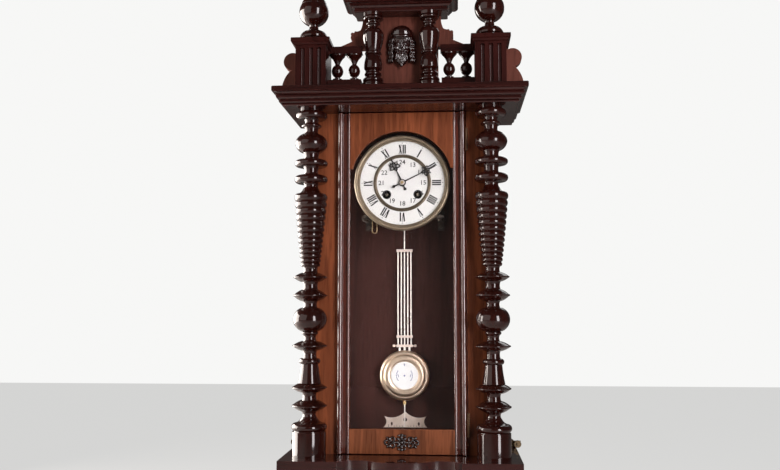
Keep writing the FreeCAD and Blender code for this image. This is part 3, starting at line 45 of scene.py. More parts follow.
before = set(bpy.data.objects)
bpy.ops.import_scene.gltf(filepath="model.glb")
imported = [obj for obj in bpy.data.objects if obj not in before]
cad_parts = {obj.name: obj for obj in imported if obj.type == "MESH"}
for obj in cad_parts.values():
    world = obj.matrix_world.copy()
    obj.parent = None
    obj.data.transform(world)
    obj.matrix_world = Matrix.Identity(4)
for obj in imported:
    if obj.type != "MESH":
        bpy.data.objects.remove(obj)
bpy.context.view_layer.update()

MM = 0.001
DIAL_LOW, DIAL_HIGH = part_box("dial_plate")
DIAL_X = (DIAL_LOW.x + DIAL_HIGH.x) / 2
DIAL_Z = (DIAL_LOW.z + DIAL_HIGH.z) / 2
DIAL_FACE = DIAL_LOW.y


# ---------------------------------------------------------------- shaping
def clear():
    """Leave edit mode and let go of everything."""
    if bpy.context.object and bpy.context.object.mode != "OBJECT":
        bpy.ops.object.mode_set(mode="OBJECT")
    bpy.ops.object.select_all(action="DESELECT")


def start(name):
    """An empty piece at the origin, open for shaping."""
    clear()
    bpy.ops.object.add(type="MESH", location=(0, 0, 0))
    piece = bpy.context.object
    piece.name = name
    piece.data.name = name
    bpy.ops.object.mode_set(mode="EDIT")
    return piece


def hold(piece):
    """Select one piece alone and make it the active one."""
    clear()
    piece.select_set(True)
    bpy.context.view_layer.objects.active = piece


def settle(piece):
    """Work the piece's place, turn and size into its mesh."""
    hold(piece)
    bpy.ops.object.transform_apply(location=True, rotation=True, scale=True)


def finish_with(piece, kind, **settings):
    """Add one modifier and apply it."""
    hold(piece)
    modifier = piece.modifiers.new(kind.lower(), kind)
    for key, value in settings.items():
        setattr(modifier, key, value)
    bpy.ops.object.modifier_apply(modifier=modifier.name)


def open_whole(piece):
    """Open a piece for shaping with all of its mesh selected."""
    hold(piece)
    bpy.ops.object.mode_set(mode="EDIT")
    bpy.ops.mesh.select_all(action="SELECT")


def face_outwards(piece):
    """Turn every face of a closed mesh to the outside."""
    open_whole(piece)
    bpy.ops.mesh.normals_make_consistent(inside=False)
    bpy.ops.object.mode_set(mode="OBJECT")


def place_on(piece, body, slot_name, finish, *stands_for, angle=40):
    """Give a finished piece its surface, its body and the solids it stands for."""
    hold(piece)
    bpy.ops.object.shade_smooth_by_angle(angle=math.radians(angle))
    piece.data.materials.clear()
    piece.data.materials.append(finish)
    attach(piece, body)
    if stands_for:
        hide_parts(*stands_for)
    clear()


def lump(place, half, turn=(0, 0, 0), rings=12):
    """Rounded lump of wood or metal, inside the piece being shaped."""
    bpy.ops.mesh.primitive_uv_sphere_add(segments=2 * rings, ring_count=rings, radius=1,
                                         location=place, rotation=turn, scale=half)


def loop(place, radius, thickness, turn=(math.pi / 2, 0, 0), stretch=None):
    """Closed ring of round wire, inside the piece being shaped."""
    bpy.ops.mesh.primitive_torus_add(location=place, rotation=turn, major_radius=radius,
                                     minor_radius=thickness, major_segments=40,
                                     minor_segments=12)
    if stretch:
        bpy.ops.transform.resize(value=stretch, center_override=place)


def spike(low, high, low_radius, high_radius, x=0.0, lean=0.0, sides=16):
    """Tapered round bar between two heights, leaning sideways by an angle."""
    bpy.ops.mesh.primitive_cone_add(vertices=sides, radius1=low_radius, radius2=high_radius,
                                    depth=high - low, location=(x, 0, (low + high) / 2),
                                    rotation=(0, lean, 0))


def carve(piece, grain, rounds, strength=0.5):
    """Merge the lumps of a carving into one skin and soften it."""
    finish_with(piece, "REMESH", mode="VOXEL", voxel_size=grain)
    finish_with(piece, "SMOOTH", factor=strength, iterations=rounds)


BACK_GAP = 0.05 * MM


def finish_relief(piece, grain, rounds, face):
    """Carve a relief and cut its back flat, a hair in front of the face it sits on."""
    bpy.ops.object.mode_set(mode="OBJECT")
    carve(piece, grain, rounds)
    open_whole(piece)
    bpy.ops.mesh.bisect(plane_co=(0, face - BACK_GAP, 0), plane_no=(0, 1, 0), use_fill=True,
                        clear_outer=True)
    bpy.ops.object.mode_set(mode="OBJECT")
    face_outwards(piece)


# ---------------------------------------------------------------- surface effects
class Tree:
    """Short calls for a node tree."""

    def __init__(self, tree):
        self.tree = tree

    def add(self, kind, settings=None, **inputs):
        node = self.tree.nodes.new(kind)
        for key, value in (settings or {}).items():
            setattr(node, key, value)
        for key, value in inputs.items():
            self.feed(value, node.inputs[key.replace("_", " ")])
        return node

    def feed(self, value, socket):
        if isinstance(value, bpy.types.NodeSocket):
            self.tree.links.new(value, socket)
        else:
            socket.default_value = value

    def math(self, operation, first, second=0.5, clamp=False):
        node = self.tree.nodes.new("ShaderNodeMath")
        node.operation = operation
        node.use_clamp = clamp
        self.feed(first, node.inputs[0])
        self.feed(second, node.inputs[1])
        return node.outputs[0]

    def spread(self, value, low, high, to_low, to_high):
        node = self.tree.nodes.new("ShaderNodeMapRange")
        for index, given in enumerate((value, low, high, to_low, to_high)):
            self.feed(given, node.inputs[index])
        return node.outputs[0]

    def blend(self, share, first, second, way="MIX"):
        node = self.tree.nodes.new("ShaderNodeMix")
        node.data_type = "RGBA"
        node.blend_type = way
        self.feed(share, node.inputs[0])
        self.feed(first, node.inputs[6])
        self.feed(second, node.inputs[7])
        return node.outputs[2]

    def vector_math(self, operation, first, second):
        """The number that comes out of an operation on two vectors."""
        node = self.tree.nodes.new("ShaderNodeVectorMath")
        node.operation = operation
        self.feed(first, node.inputs[0])
        self.feed(second, node.inputs[1])
        return node.outputs["Value"]

    def mix_shaders(self, share, first, second):
        node = self.tree.nodes.new("ShaderNodeMixShader")
        for index, given in enumerate((share, first, second)):
            self.feed(given, node.inputs[index])
        return node.outputs["Shader"]


def effect(name, inputs, outputs):
    """A node group with named inputs (name, kind, value) and outputs (name, kind)."""
    group = bpy.data.node_groups.new(name, "ShaderNodeTree")
    for label, kind, value in inputs:
        socket = group.interface.new_socket(label, in_out="INPUT", socket_type=kind)
        if value is not None:
            socket.default_value = value
    for label, kind in outputs:
        group.interface.new_socket(label, in_out="OUTPUT", socket_type=kind)
    tree = Tree(group)
    entry = group.nodes.new("NodeGroupInput")
    leave = group.nodes.new("NodeGroupOutput")
    return group, tree, entry.outputs, leave.inputs


FLOAT = "NodeSocketFloat"
COLOUR = "NodeSocketColor"
VECTOR = "NodeSocketVector"


def make_timber_figure():
    group, tree, given, out = effect(
        "timber_figure",
        [("Position", VECTOR, None), ("Dark", COLOUR, (0.02, 0.008, 0.005, 1)),
         ("Light", COLOUR, (0.1, 0.04, 0.02, 1)), ("Figure", FLOAT, 9.0),
         ("Pores", FLOAT, 120.0), ("Contrast", FLOAT, 1.0)],
        [("Color", COLOUR), ("Height", FLOAT), ("Figure Mask", FLOAT)])
    warp = tree.add("ShaderNodeTexNoise", Vector=given["Position"], Scale=given["Figure"],
                    Detail=4.0, Roughness=0.55, Distortion=0.6)
    rings = tree.math("SINE", tree.math("MULTIPLY", warp.outputs["Fac"], 38.0))
    bands = tree.spread(rings, -1.0, 1.0, 0.0, 1.0)
    cloud = tree.add("ShaderNodeTexNoise", Vector=given["Position"], Scale=3.2, Detail=3.0,
                     Roughness=0.6)
    mixed = tree.math("ADD", tree.math("MULTIPLY", bands, 0.22),
                      tree.math("MULTIPLY", cloud.outputs["Fac"], 0.75))
    lifted = tree.math("MULTIPLY", tree.math("SUBTRACT", mixed, 0.485), given["Contrast"])
    figure = tree.math("ADD", lifted, 0.5, clamp=True)
    pores = tree.add("ShaderNodeTexNoise", Vector=given["Position"], Scale=given["Pores"],
                     Detail=2.0, Roughness=0.7)
    pits = tree.spread(pores.outputs["Fac"], 0.36, 0.5, 0.0, 1.0)
    colour = tree.blend(figure, given["Dark"], given["Light"])
    shaded = tree.blend(tree.spread(pits, 0.0, 1.0, 0.4, 0.0), colour, given["Dark"])
    tree.feed(shaded, out["Color"])
    tree.feed(pits, out["Height"])
    tree.feed(figure, out["Figure Mask"])
    return group


def make_worn_edges():
    group, tree, given, out = effect(
        "worn_edges", [("Radius", FLOAT, 0.0015), ("Amount", FLOAT, 0.5),
                       ("Position", VECTOR, None)], [("Mask", FLOAT)])
    round_off = tree.add("ShaderNodeBevel", {"samples": 4}, Radius=given["Radius"])
    plain = tree.add("ShaderNodeNewGeometry")
    facing = tree.vector_math("DOT_PRODUCT", round_off.outputs["Normal"],
                              plain.outputs["Normal"])
    edge = tree.spread(facing, 0.985, 0.8, 0.0, 1.0)
    patchy = tree.add("ShaderNodeTexNoise", Vector=given["Position"], Scale=70.0, Detail=3.0)
    broken = tree.spread(patchy.outputs["Fac"], 0.35, 0.65, 0.0, 1.0)
    worn = tree.math("MULTIPLY", tree.math("MULTIPLY", edge, broken), given["Amount"], clamp=True)
    tree.feed(worn, out["Mask"])
    return group


def make_handling_marks():
    group, tree, given, out = effect(
        "handling_marks", [("Position", VECTOR, None), ("Smudge Size", FLOAT, 18.0),
                           ("Base", FLOAT, 0.3), ("Range", FLOAT, 0.15)],
        [("Roughness", FLOAT), ("Scratch Height", FLOAT), ("Dust", FLOAT)])
    smudge = tree.add("ShaderNodeTexNoise", Vector=given["Position"], Scale=given["Smudge Size"],
                      Detail=5.0, Roughness=0.6)
    swing = tree.math("MULTIPLY", tree.math("SUBTRACT", smudge.outputs["Fac"], 0.5),
                      given["Range"])
    tree.feed(tree.math("ADD", tree.math("MULTIPLY", swing, 2.0), given["Base"], clamp=True),
              out["Roughness"])
    squeeze = tree.add("ShaderNodeMapping", Vector=given["Position"], Scale=(260.0, 260.0, 14.0),
                       Rotation=(0.3, 0.5, 0.2))
    lines = tree.add("ShaderNodeTexNoise", Vector=squeeze.outputs["Vector"], Scale=1.0,
                     Detail=2.0)
    tree.feed(tree.spread(lines.outputs["Fac"], 0.62, 0.7, 0.0, 1.0), out["Scratch Height"])
    plain = tree.add("ShaderNodeNewGeometry")
    split = tree.add("ShaderNodeSeparateXYZ", Vector=plain.outputs["Normal"])
    up = tree.spread(split.outputs["Z"], 0.55, 1.0, 0.0, 1.0)
    tree.feed(tree.math("MULTIPLY", up, smudge.outputs["Fac"]), out["Dust"])
    return group


def make_tarnish():
    group, tree, given, out = effect(
        "tarnish", [("Position", VECTOR, None), ("Bright", COLOUR, (0.8, 0.6, 0.3, 1)),
                    ("Dull", COLOUR, (0.3, 0.2, 0.1, 1)), ("Patch Size", FLOAT, 40.0),
                    ("Amount", FLOAT, 0.5)], [("Color", COLOUR), ("Mask", FLOAT)])
    patches = tree.add("ShaderNodeTexNoise", Vector=given["Position"], Scale=given["Patch Size"],
                       Detail=6.0, Roughness=0.65)
    specks = tree.add("ShaderNodeTexVoronoi", Vector=given["Position"], Scale=420.0)
    spots = tree.spread(specks.outputs["Distance"], 0.05, 0.2, 0.5, 0.0)
    cover = tree.spread(patches.outputs["Fac"], 0.38, 0.7, 0.0, 1.0)
    mask = tree.math("MULTIPLY", tree.math("ADD", cover, spots, clamp=True), given["Amount"])
    tree.feed(tree.blend(mask, given["Bright"], given["Dull"]), out["Color"])
    tree.feed(mask, out["Mask"])
    return group


def make_fired_glaze():
    group, tree, given, out = effect(
        "fired_glaze", [("Position", VECTOR, None), ("White", COLOUR, (0.9, 0.88, 0.84, 1)),
                        ("Aged", COLOUR, (0.75, 0.68, 0.55, 1)), ("Ageing", FLOAT, 0.2)],
        [("Color", COLOUR), ("Height", FLOAT)])
    stain = tree.add("ShaderNodeTexNoise", Vector=given["Position"], Scale=26.0, Detail=6.0,
                     Roughness=0.7)
    cover = tree.math("MULTIPLY", tree.spread(stain.outputs["Fac"], 0.42, 0.75, 0.0, 1.0),
                      given["Ageing"])
    tree.feed(tree.blend(cover, given["White"], given["Aged"]), out["Color"])
    ripple = tree.add("ShaderNodeTexNoise", Vector=given["Position"], Scale=160.0, Detail=2.0)
    tree.feed(ripple.outputs["Fac"], out["Height"])
    return group


TIMBER = make_timber_figure()
WORN = make_worn_edges()
MARKS = make_handling_marks()
TARNISH = make_tarnish()
GLAZE = make_fired_glaze()


def surface(name):
    """A new material with its tree, shader and object position."""
    finish = bpy.data.materials.new(name)
    finish.use_nodes = True
    finish.node_tree.nodes.clear()
    tree = Tree(finish.node_tree)
    out = tree.add("ShaderNodeOutputMaterial")
    shader = tree.add("ShaderNodeBsdfPrincipled")
    tree.feed(shader.outputs["BSDF"], out.inputs["Surface"])
    position = tree.add("ShaderNodeTexCoord").outputs["Object"]
    return finish, tree, shader, position, out


def use(tree, group, **inputs):
    """Place a shared effect in a tree, with its own values."""
    node = tree.tree.nodes.new("ShaderNodeGroup")
    node.node_tree = group
    for key, value in inputs.items():
        tree.feed(value, node.inputs[key.replace("_", " ")])
    return node.outputs


# stretch of the grain: long along the named axis, fine across it
ALONG = {"x": (0.16, 2.4, 2.4), "y": (2.4, 0.16, 2.4), "z": (2.4, 2.4, 0.16)}


def timber(name, dark, light, grain="z", figure=9.0, contrast=1.0, roughness=0.3, coat=1.0,
           coat_roughness=0.06, worn=0.4, dust=0.2, relief=0.12, sheen_level=0.3,
           coat_index=1.5):
    """Stained and lacquered wood."""
    finish, tree, shader, position, _ = surface(name)
    along = tree.add("ShaderNodeMapping", Vector=position, Scale=ALONG[grain])
    wood = use(tree, TIMBER, Position=along.outputs["Vector"], Dark=(*dark, 1),
               Light=(*light, 1), Figure=figure, Contrast=contrast)
    marks = use(tree, MARKS, Position=position, Base=roughness, Range=0.12)
    edge = use(tree, WORN, Position=position, Amount=worn)
    lighter = tuple(min(1.0, 2.2 * value + 0.02) for value in light)
    colour = tree.blend(edge["Mask"], wood["Color"], (*lighter, 1))
    dusty = tree.blend(tree.math("MULTIPLY", marks["Dust"], dust), colour, (0.12, 0.075, 0.055, 1))
    tree.feed(dusty, shader.inputs["Base Color"])
    rough = tree.math("ADD", marks["Roughness"], tree.math("MULTIPLY", marks["Dust"], 0.3),
                      clamp=True)
    tree.feed(rough, shader.inputs["Roughness"])
    height = tree.math("SUBTRACT", wood["Height"],
                       tree.math("MULTIPLY", marks["Scratch Height"], 0.5))
    bump = tree.add("ShaderNodeBump", Height=height, Strength=relief, Distance=0.0004)
    tree.feed(bump.outputs["Normal"], shader.inputs["Normal"])
    shader.inputs["Specular IOR Level"].default_value = sheen_level
    shader.inputs["Coat Weight"].default_value = coat
    shader.inputs["Coat Roughness"].default_value = coat_roughness
    shader.inputs["Coat IOR"].default_value = coat_index
    return finish


def shade_round(tree, position, colour, lines, near, far, inside, outside, shade):
    """Darken the surface between two distances from lines that run front to back."""
    flat = tree.add("ShaderNodeMapping", Vector=position, Scale=(1, 0, 1))
    reaches = [tree.vector_math("DISTANCE", flat.outputs["Vector"], (x, 0, z))
               for x, z in lines]
    nearest = reaches[0]
    for reach in reaches[1:]:
        nearest = tree.math("MINIMUM", nearest, reach)
    cover = tree.spread(nearest, near, far, inside, outside)
    return tree.blend(cover, colour, (*shade, 1))


def metal(name, bright, dull, roughness=0.25, spread=0.12, tarnish=0.5, patch=40.0, worn=0.3,
          relief=0.05, metallic=1.0, shading=()):
    """Polished, brushed or blackened metal."""
    finish, tree, shader, position, _ = surface(name)
    skin = use(tree, TARNISH, Position=position, Bright=(*bright, 1), Dull=(*dull, 1),
               Patch_Size=patch, Amount=tarnish)
    marks = use(tree, MARKS, Position=position, Smudge_Size=60.0, Base=roughness, Range=spread)
    edge = use(tree, WORN, Position=position, Amount=worn, Radius=0.0006)
    lighter = tuple(min(1.0, 1.3 * value + 0.05) for value in bright)
    colour = tree.blend(edge["Mask"], skin["Color"], (*lighter, 1))
    for lines, near, far, inside, outside, shade in shading:
        colour = shade_round(tree, position, colour, lines, near, far, inside, outside, shade)
    tree.feed(colour, shader.inputs["Base Color"])
    rough = tree.math("ADD", marks["Roughness"], tree.math("MULTIPLY", skin["Mask"], 0.2),
                      clamp=True)
    tree.feed(rough, shader.inputs["Roughness"])
    bump = tree.add("ShaderNodeBump", Height=marks["Scratch Height"], Strength=relief,
                    Distance=0.0002)
    tree.feed(bump.outputs["Normal"], shader.inputs["Normal"])
    shader.inputs["Metallic"].default_value = metallic
    return finish


def glaze(name, white, aged, ageing=0.2, roughness=0.12, coat=0.6):
    """Fired enamel or porcelain."""
    finish, tree, shader, position, _ = surface(name)
    skin = use(tree, GLAZE, Position=position, White=(*white, 1), Aged=(*aged, 1), Ageing=ageing)
    marks = use(tree, MARKS, Position=position, Smudge_Size=40.0, Base=roughness, Range=0.06)
    tree.feed(skin["Color"], shader.inputs["Base Color"])
    tree.feed(marks["Roughness"], shader.inputs["Roughness"])
    bump = tree.add("ShaderNodeBump", Height=skin["Height"], Strength=0.06, Distance=0.0002)
    tree.feed(bump.outputs["Normal"], shader.inputs["Normal"])
    shader.inputs["Coat Weight"].default_value = coat
    shader.inputs["Coat Roughness"].default_value = 0.04
    return finish


def ink(name, colour, faded, roughness=0.4):
    """Printed or painted mark on a fired surface."""
    finish, tree, shader, position, _ = surface(name)
    cloud = tree.add("ShaderNodeTexNoise", Vector=position, Scale=320.0, Detail=4.0)
    share = tree.spread(cloud.outputs["Fac"], 0.45, 0.75, 0.0, 0.6)
    tree.feed(tree.blend(share, (*colour, 1), (*faded, 1)), shader.inputs["Base Color"])
    tree.feed(tree.spread(cloud.outputs["Fac"], 0.0, 1.0, roughness - 0.1, roughness + 0.1),
              shader.inputs["Roughness"])
    return finish


def window_glass(name):
    """Thin old glass that lets lamps through, with faint smears."""
    finish, tree, shader, position, out = surface(name)
    marks = use(tree, MARKS, Position=position, Smudge_Size=9.0, Base=0.03, Range=0.05)
    tree.feed(marks["Roughness"], shader.inputs["Roughness"])
    wave = tree.add("ShaderNodeTexNoise", Vector=position, Scale=7.0, Detail=1.0)
    bump = tree.add("ShaderNodeBump", Height=wave.outputs["Fac"], Strength=0.05, Distance=0.001)
    tree.feed(bump.outputs["Normal"], shader.inputs["Normal"])
    shader.inputs["Base Color"].default_value = (0.97, 0.98, 0.97, 1)
    shader.inputs["Transmission Weight"].default_value = 1.0
    shader.inputs["IOR"].default_value = 1.45
    path = tree.add("ShaderNodeLightPath")
    through = tree.add("ShaderNodeBsdfTransparent")
    mixed = tree.mix_shaders(path.outputs["Is Shadow Ray"], shader.outputs["BSDF"],
                             through.outputs["BSDF"])
    tree.feed(mixed, out.inputs["Surface"])
    return finish


def middle_line(node):
    """Place of a node's middle across and up."""
    low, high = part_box(node)
    return ((low.x + high.x) / 2, (low.z + high.z) / 2)


ARBORS = [middle_line("time_winding_arbor"), middle_line("strike_winding_arbor")]
DIAL_MIDDLE = [(DIAL_X, DIAL_Z)]
# painted shade: the dark colour put where the winding holes lie in shade behind the dial
PAINTED_HOLE_SHADE = (0.006, 0.004, 0.003)
# colour that the dial's brass rings are darkened towards, nearer the dial's middle
RING_DARKENING = (0.06, 0.045, 0.032)

turned_wood = timber("turned_lacquer", (0.008, 0.001, 0.0008), (0.034, 0.006, 0.0035),
                     figure=7.0, roughness=0.3, coat_roughness=0.035, dust=0.05,
                     sheen_level=0.05)
moulded_wood = timber("moulded_lacquer", (0.009, 0.0017, 0.0013), (0.048, 0.01, 0.008),
                      grain="x", figure=7.0, roughness=0.34, coat_roughness=0.05, dust=0.02,
                      sheen_level=0.05)
bead_wood = timber("door_bead_lacquer", (0.03, 0.006, 0.004), (0.16, 0.036, 0.022),
                   roughness=0.2, coat_roughness=0.1, sheen_level=0.15, coat_index=1.9)
crest_wood = timber("crest_lacquer", (0.01, 0.002, 0.0017), (0.048, 0.01, 0.008),
                    roughness=0.4, coat=0.25, coat_roughness=0.14, dust=0.1, sheen_level=0.05)
carved_wood = timber("carved_lacquer", (0.006, 0.0012, 0.001), (0.03, 0.006, 0.004),
                     roughness=0.28, coat_roughness=0.07, worn=0.3, dust=0.05,
                     sheen_level=0.08, coat_index=1.9)
veneer = timber("walnut_veneer", (0.064, 0.016, 0.006), (0.36, 0.1, 0.038), figure=8.0,
                contrast=1.3, roughness=0.46, coat=0.22, coat_roughness=0.16, relief=0.2,
                sheen_level=0.12)
rail_veneer = timber("rail_veneer", (0.055, 0.016, 0.007), (0.38, 0.12, 0.05), figure=10.0,
                     contrast=1.5, roughness=0.44, coat=0.22, coat_roughness=0.16, relief=0.2,
                     sheen_level=0.12)
case_wood = timber("case_wood", (0.03, 0.009, 0.005), (0.13, 0.045, 0.022), figure=8.0,
                   roughness=0.5, coat=0.15, coat_roughness=0.25, sheen_level=0.12)
panel_wood = timber("crest_panel_wood", (0.045, 0.013, 0.009), (0.2, 0.062, 0.042), figure=8.0,
                    roughness=0.5, coat=0.15, coat_roughness=0.3, sheen_level=0.1)
interior_wood = timber("interior_wood", (0.008, 0.003, 0.0025), (0.06, 0.02, 0.016),
                       figure=4.0, contrast=1.6, roughness=0.55, coat=0.1,
                       coat_roughness=0.3, sheen_level=0.1)
pane = window_glass("old_glass")
brass = metal("movement_brass", (0.78, 0.56, 0.25), (0.4, 0.26, 0.1), roughness=0.28)
# painted shade: the front plate is darkened round the winding arbors, where it lies in shade
# behind the dial's holes
plate_brass = metal("plate_brass", (0.3, 0.21, 0.12), (0.14, 0.09, 0.05), roughness=0.4,
                    shading=[(ARBORS, 10 * MM, 14 * MM, 1.0, 0.0, PAINTED_HOLE_SHADE)])
# the brass rings are darker towards the dial's middle, in two steps
dial_brass = metal("dial_brass", (0.34, 0.27, 0.19), (0.16, 0.115, 0.075), roughness=0.34,
                   patch=60.0, metallic=0.75,
                   shading=[(DIAL_MIDDLE, 58 * MM, 62 * MM, 0.6, 0.0, RING_DARKENING),
                            (DIAL_MIDDLE, 77 * MM, 79 * MM, 0.35, 0.0, RING_DARKENING)])
collet_metal = metal("collet_metal", (0.74, 0.66, 0.6), (0.4, 0.33, 0.27), roughness=0.3,
                     metallic=0.6)
hinge_brass = metal("hinge_brass", (0.12, 0.07, 0.04), (0.05, 0.025, 0.016), roughness=0.45,
                    tarnish=0.8)
screw_brass = metal("leveller_brass", (0.24, 0.18, 0.11), (0.1, 0.07, 0.04), roughness=0.35,
                    tarnish=0.6)
bob_brass = metal("bob_brass", (0.8, 0.64, 0.5), (0.5, 0.34, 0.24), roughness=0.34, tarnish=0.4,
                  patch=30.0)
steel = metal("turned_steel", (0.62, 0.61, 0.6), (0.3, 0.28, 0.25), roughness=0.3)
# painted shade: the arbors keep their own colour only near their axes and are painted dark further
# out, as shade inside the dial's winding holes
bright_steel = metal("arbor_steel", (0.34, 0.28, 0.23), (0.18, 0.14, 0.1), roughness=0.35,
                     metallic=0.6, tarnish=0.4,
                     shading=[(ARBORS, 1.9 * MM, 2.7 * MM, 0.0, 1.0, PAINTED_HOLE_SHADE)])
dark_steel = metal("screw_steel", (0.12, 0.1, 0.09), (0.05, 0.035, 0.025), roughness=0.45,
                   tarnish=0.7)
nickel = metal("rod_nickel", (0.9, 0.86, 0.82), (0.6, 0.54, 0.48), roughness=0.28, tarnish=0.3,
               metallic=0.35)
rose_metal = metal("bar_rose", (0.86, 0.73, 0.67), (0.5, 0.34, 0.27), roughness=0.3,
                   metallic=0.4, tarnish=0.4)
black_steel = metal("hand_black", (0.008, 0.007, 0.008), (0.02, 0.014, 0.01), roughness=0.4,
                    worn=0.15, metallic=0.2)
blue_steel = metal("gong_steel", (0.03, 0.032, 0.05), (0.09, 0.06, 0.04), roughness=0.35)
iron = metal("bracket_iron", (0.05, 0.047, 0.045), (0.12, 0.07, 0.045), roughness=0.55,
             metallic=0.8)
ivory = metal("scale_plate", (0.78, 0.67, 0.6), (0.5, 0.37, 0.29), roughness=0.42, metallic=0.1,
              tarnish=0.55)
enamel = glaze("dial_enamel", (0.76, 0.755, 0.75), (0.62, 0.59, 0.54), ageing=0.25)
porcelain = glaze("bob_porcelain", (0.88, 0.89, 0.91), (0.7, 0.7, 0.68), ageing=0.2)
black_ink = ink("numeral_black", (0.005, 0.005, 0.006), (0.03, 0.028, 0.028))
blue_ink = ink("bob_blue", (0.03, 0.06, 0.25), (0.12, 0.18, 0.4))

FINISHES = {
    turned_wood: ["column_left", "column_right", "post_finials", "gallery_spindles",
                  "crest_columns", "top_finial", "pendant_drops"],
    moulded_wood: ["main_cornice", "base_moulding", "base_plinth", "crest_slab",
                   "gallery_rails", "pediment_cornice"],
    crest_wood: ["crest_posts"],
    bead_wood: ["door_stiles"],
    veneer: ["front_stiles", "door_arch_panel", "side_frames"],
    rail_veneer: ["door_bottom_rail"],
    panel_wood: ["crest_boards", "pediment_gable"],
    case_wood: ["case_boards", "console"],
    interior_wood: ["backboard"],
    pane: ["side_glasses", "door_glass"],
    brass: ["suspension_cock", "centre_arbor", "hour_wheel", "minute_wheel", "time_barrel",
            "third_wheel", "escape_wheel", "strike_barrel", "rating_nut"],
    plate_brass: ["movement_frame"],
    dial_brass: ["dial_rings"],
    hinge_brass: ["case_hinges", "door_hinges"],
    screw_brass: ["leveller_lugs", "leveller_left", "leveller_right"],
    bob_brass: ["bob_shell"],
    steel: ["hanger_plate", "anchor", "hammer"],
    bright_steel: ["time_winding_arbor", "strike_winding_arbor"],
    dark_steel: ["fixing_screws"],
    nickel: ["pendulum_rods"],
    rose_metal: ["pendulum_bars"],
    blue_steel: ["gong"],
    iron: ["movement_bracket"],
    ivory: ["beat_scale"],
    enamel: ["dial_plate"],
    porcelain: ["bob_disc"],
}
for finish, names in FINISHES.items():
    for name in names:
        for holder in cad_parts[name].material_slots:
            holder.material = finish


# ---------------------------------------------------------------- the dial's marks
MARK_THICK = 0.12 * MM
MARK_LIFT = 0.03 * MM + MARK_THICK / 2


def dial_point(angle, radius, side=0.0):
    """Point on the dial at a clockwise angle from XII; side is to the right of that radius."""
    x = radius * math.sin(angle) + side * math.cos(angle)
    z = radius * math.cos(angle) - side * math.sin(angle)
    return (DIAL_X + x, DIAL_FACE - MARK_LIFT, DIAL_Z + z)


def bar(place, width, height, turn=0.0):
    """Thin painted bar facing the front, inside the piece being shaped."""
    bpy.ops.mesh.primitive_cube_add(size=1, location=place, rotation=(math.pi / 2, turn, 0),
                                    scale=(width, height, MARK_THICK))


def dot(place, radius, sides=12):
    """Thin painted spot facing the front, inside the piece being shaped."""
    bpy.ops.mesh.primitive_cylinder_add(vertices=sides, radius=radius, depth=MARK_THICK,
                                        location=place, rotation=(math.pi / 2, 0, 0))


def stroke(angle, radius, side, width, height, slant=0.0):
    """One bar of a numeral."""
    bar(dial_point(angle, radius, side), width, height, angle + slant)


NUMERALS = ["XII", "I", "II", "III", "IIII", "V", "VI", "VII", "VIII", "IX", "X", "XI"]
NUMERAL_MIDDLE = 61.5 * MM
NUMERAL_HEIGHT = 15.6 * MM
THICK_STROKE = 2.5 * MM
THIN_STROKE = 1.0 * MM
LETTER_WIDTH = {"I": 3.5 * MM, "V": 6.9 * MM, "X": 7.2 * MM}


V_LEAN = 0.27
X_LEAN = 0.5
V_SPREAD = 0.17
SERIF_SHARE = 0.92
SERIF_THICK = 0.5 * MM


def draw_numeral(text, angle):
    """One roman numeral, upright along the dial's radius."""
    side = -sum(LETTER_WIDTH[letter] for letter in text) / 2
    for letter in text:
        width = LETTER_WIDTH[letter]
        middle = side + width / 2
        lean = math.atan2(width * (V_LEAN if letter == "V" else X_LEAN), NUMERAL_HEIGHT)
        if letter == "I":
            stroke(angle, NUMERAL_MIDDLE, middle, THICK_STROKE, NUMERAL_HEIGHT)
        elif letter == "V":
            stroke(angle, NUMERAL_MIDDLE, middle - width * V_SPREAD, THICK_STROKE,
                   NUMERAL_HEIGHT, -lean)
            stroke(angle, NUMERAL_MIDDLE, middle + width * V_SPREAD, THIN_STROKE,
                   NUMERAL_HEIGHT, lean)
        else:
            stroke(angle, NUMERAL_MIDDLE, middle, THICK_STROKE, NUMERAL_HEIGHT, -lean)
            stroke(angle, NUMERAL_MIDDLE, middle, THIN_STROKE, NUMERAL_HEIGHT, lean)
        serif = width * SERIF_SHARE
        stroke(angle, NUMERAL_MIDDLE + NUMERAL_HEIGHT / 2, middle, serif, SERIF_THICK)
        if letter != "V":
            stroke(angle, NUMERAL_MIDDLE - NUMERAL_HEIGHT / 2, middle, serif, SERIF_THICK)
        side += width


numerals = start("roman_numerals")
for hour, text in enumerate(NUMERALS):
    draw_numeral(text, math.radians(30 * hour))
place_on(numerals, "case", "dark_steel", black_ink, angle=30)

DOT_RING = 72.6 * MM
HOUR_DOT = 0.85 * MM
MINUTE_DOT = 0.38 * MM
minute_dots = start("minute_dots")
for minute in range(60):
    dot(dial_point(math.radians(6 * minute), DOT_RING), MINUTE_DOT if minute % 5 else HOUR_DOT)
place_on(minute_dots, "case", "dark_steel", black_ink, angle=30)

RIM_RADIUS = 7.2 * MM
RIM_WIRE = 0.9 * MM
hole_rims = start("winding_hole_rims")
for x, z in ARBORS:
    loop((x, DIAL_FACE, z), RIM_RADIUS, RIM_WIRE, stretch=(1, 0.2, 1))
bpy.ops.object.mode_set(mode="OBJECT")
place_on(hole_rims, "case", "dark_steel", black_ink)


NUMBER_RING = 37.5 * MM
NUMBER_SIZE = 11.4 * MM
NUMBER_WEIGHT = 0.16 * MM


def number_on_dial(number):
    """One upright number inside the ring, as a mesh."""
    clear()
    place = dial_point(math.radians(30 * (number - 12)), NUMBER_RING)
    bpy.ops.object.text_add(location=place, rotation=(math.pi / 2, 0, 0))
    text = bpy.context.object
    text.data.body = str(number)
    text.data.size = NUMBER_SIZE
    text.data.offset = NUMBER_WEIGHT
    text.data.align_x = "CENTER"
    text.data.align_y = "CENTER"
    text.data.extrude = MARK_THICK / 2
    text.data.resolution_u = 3
    bpy.ops.object.convert(target="MESH")
    return bpy.context.object


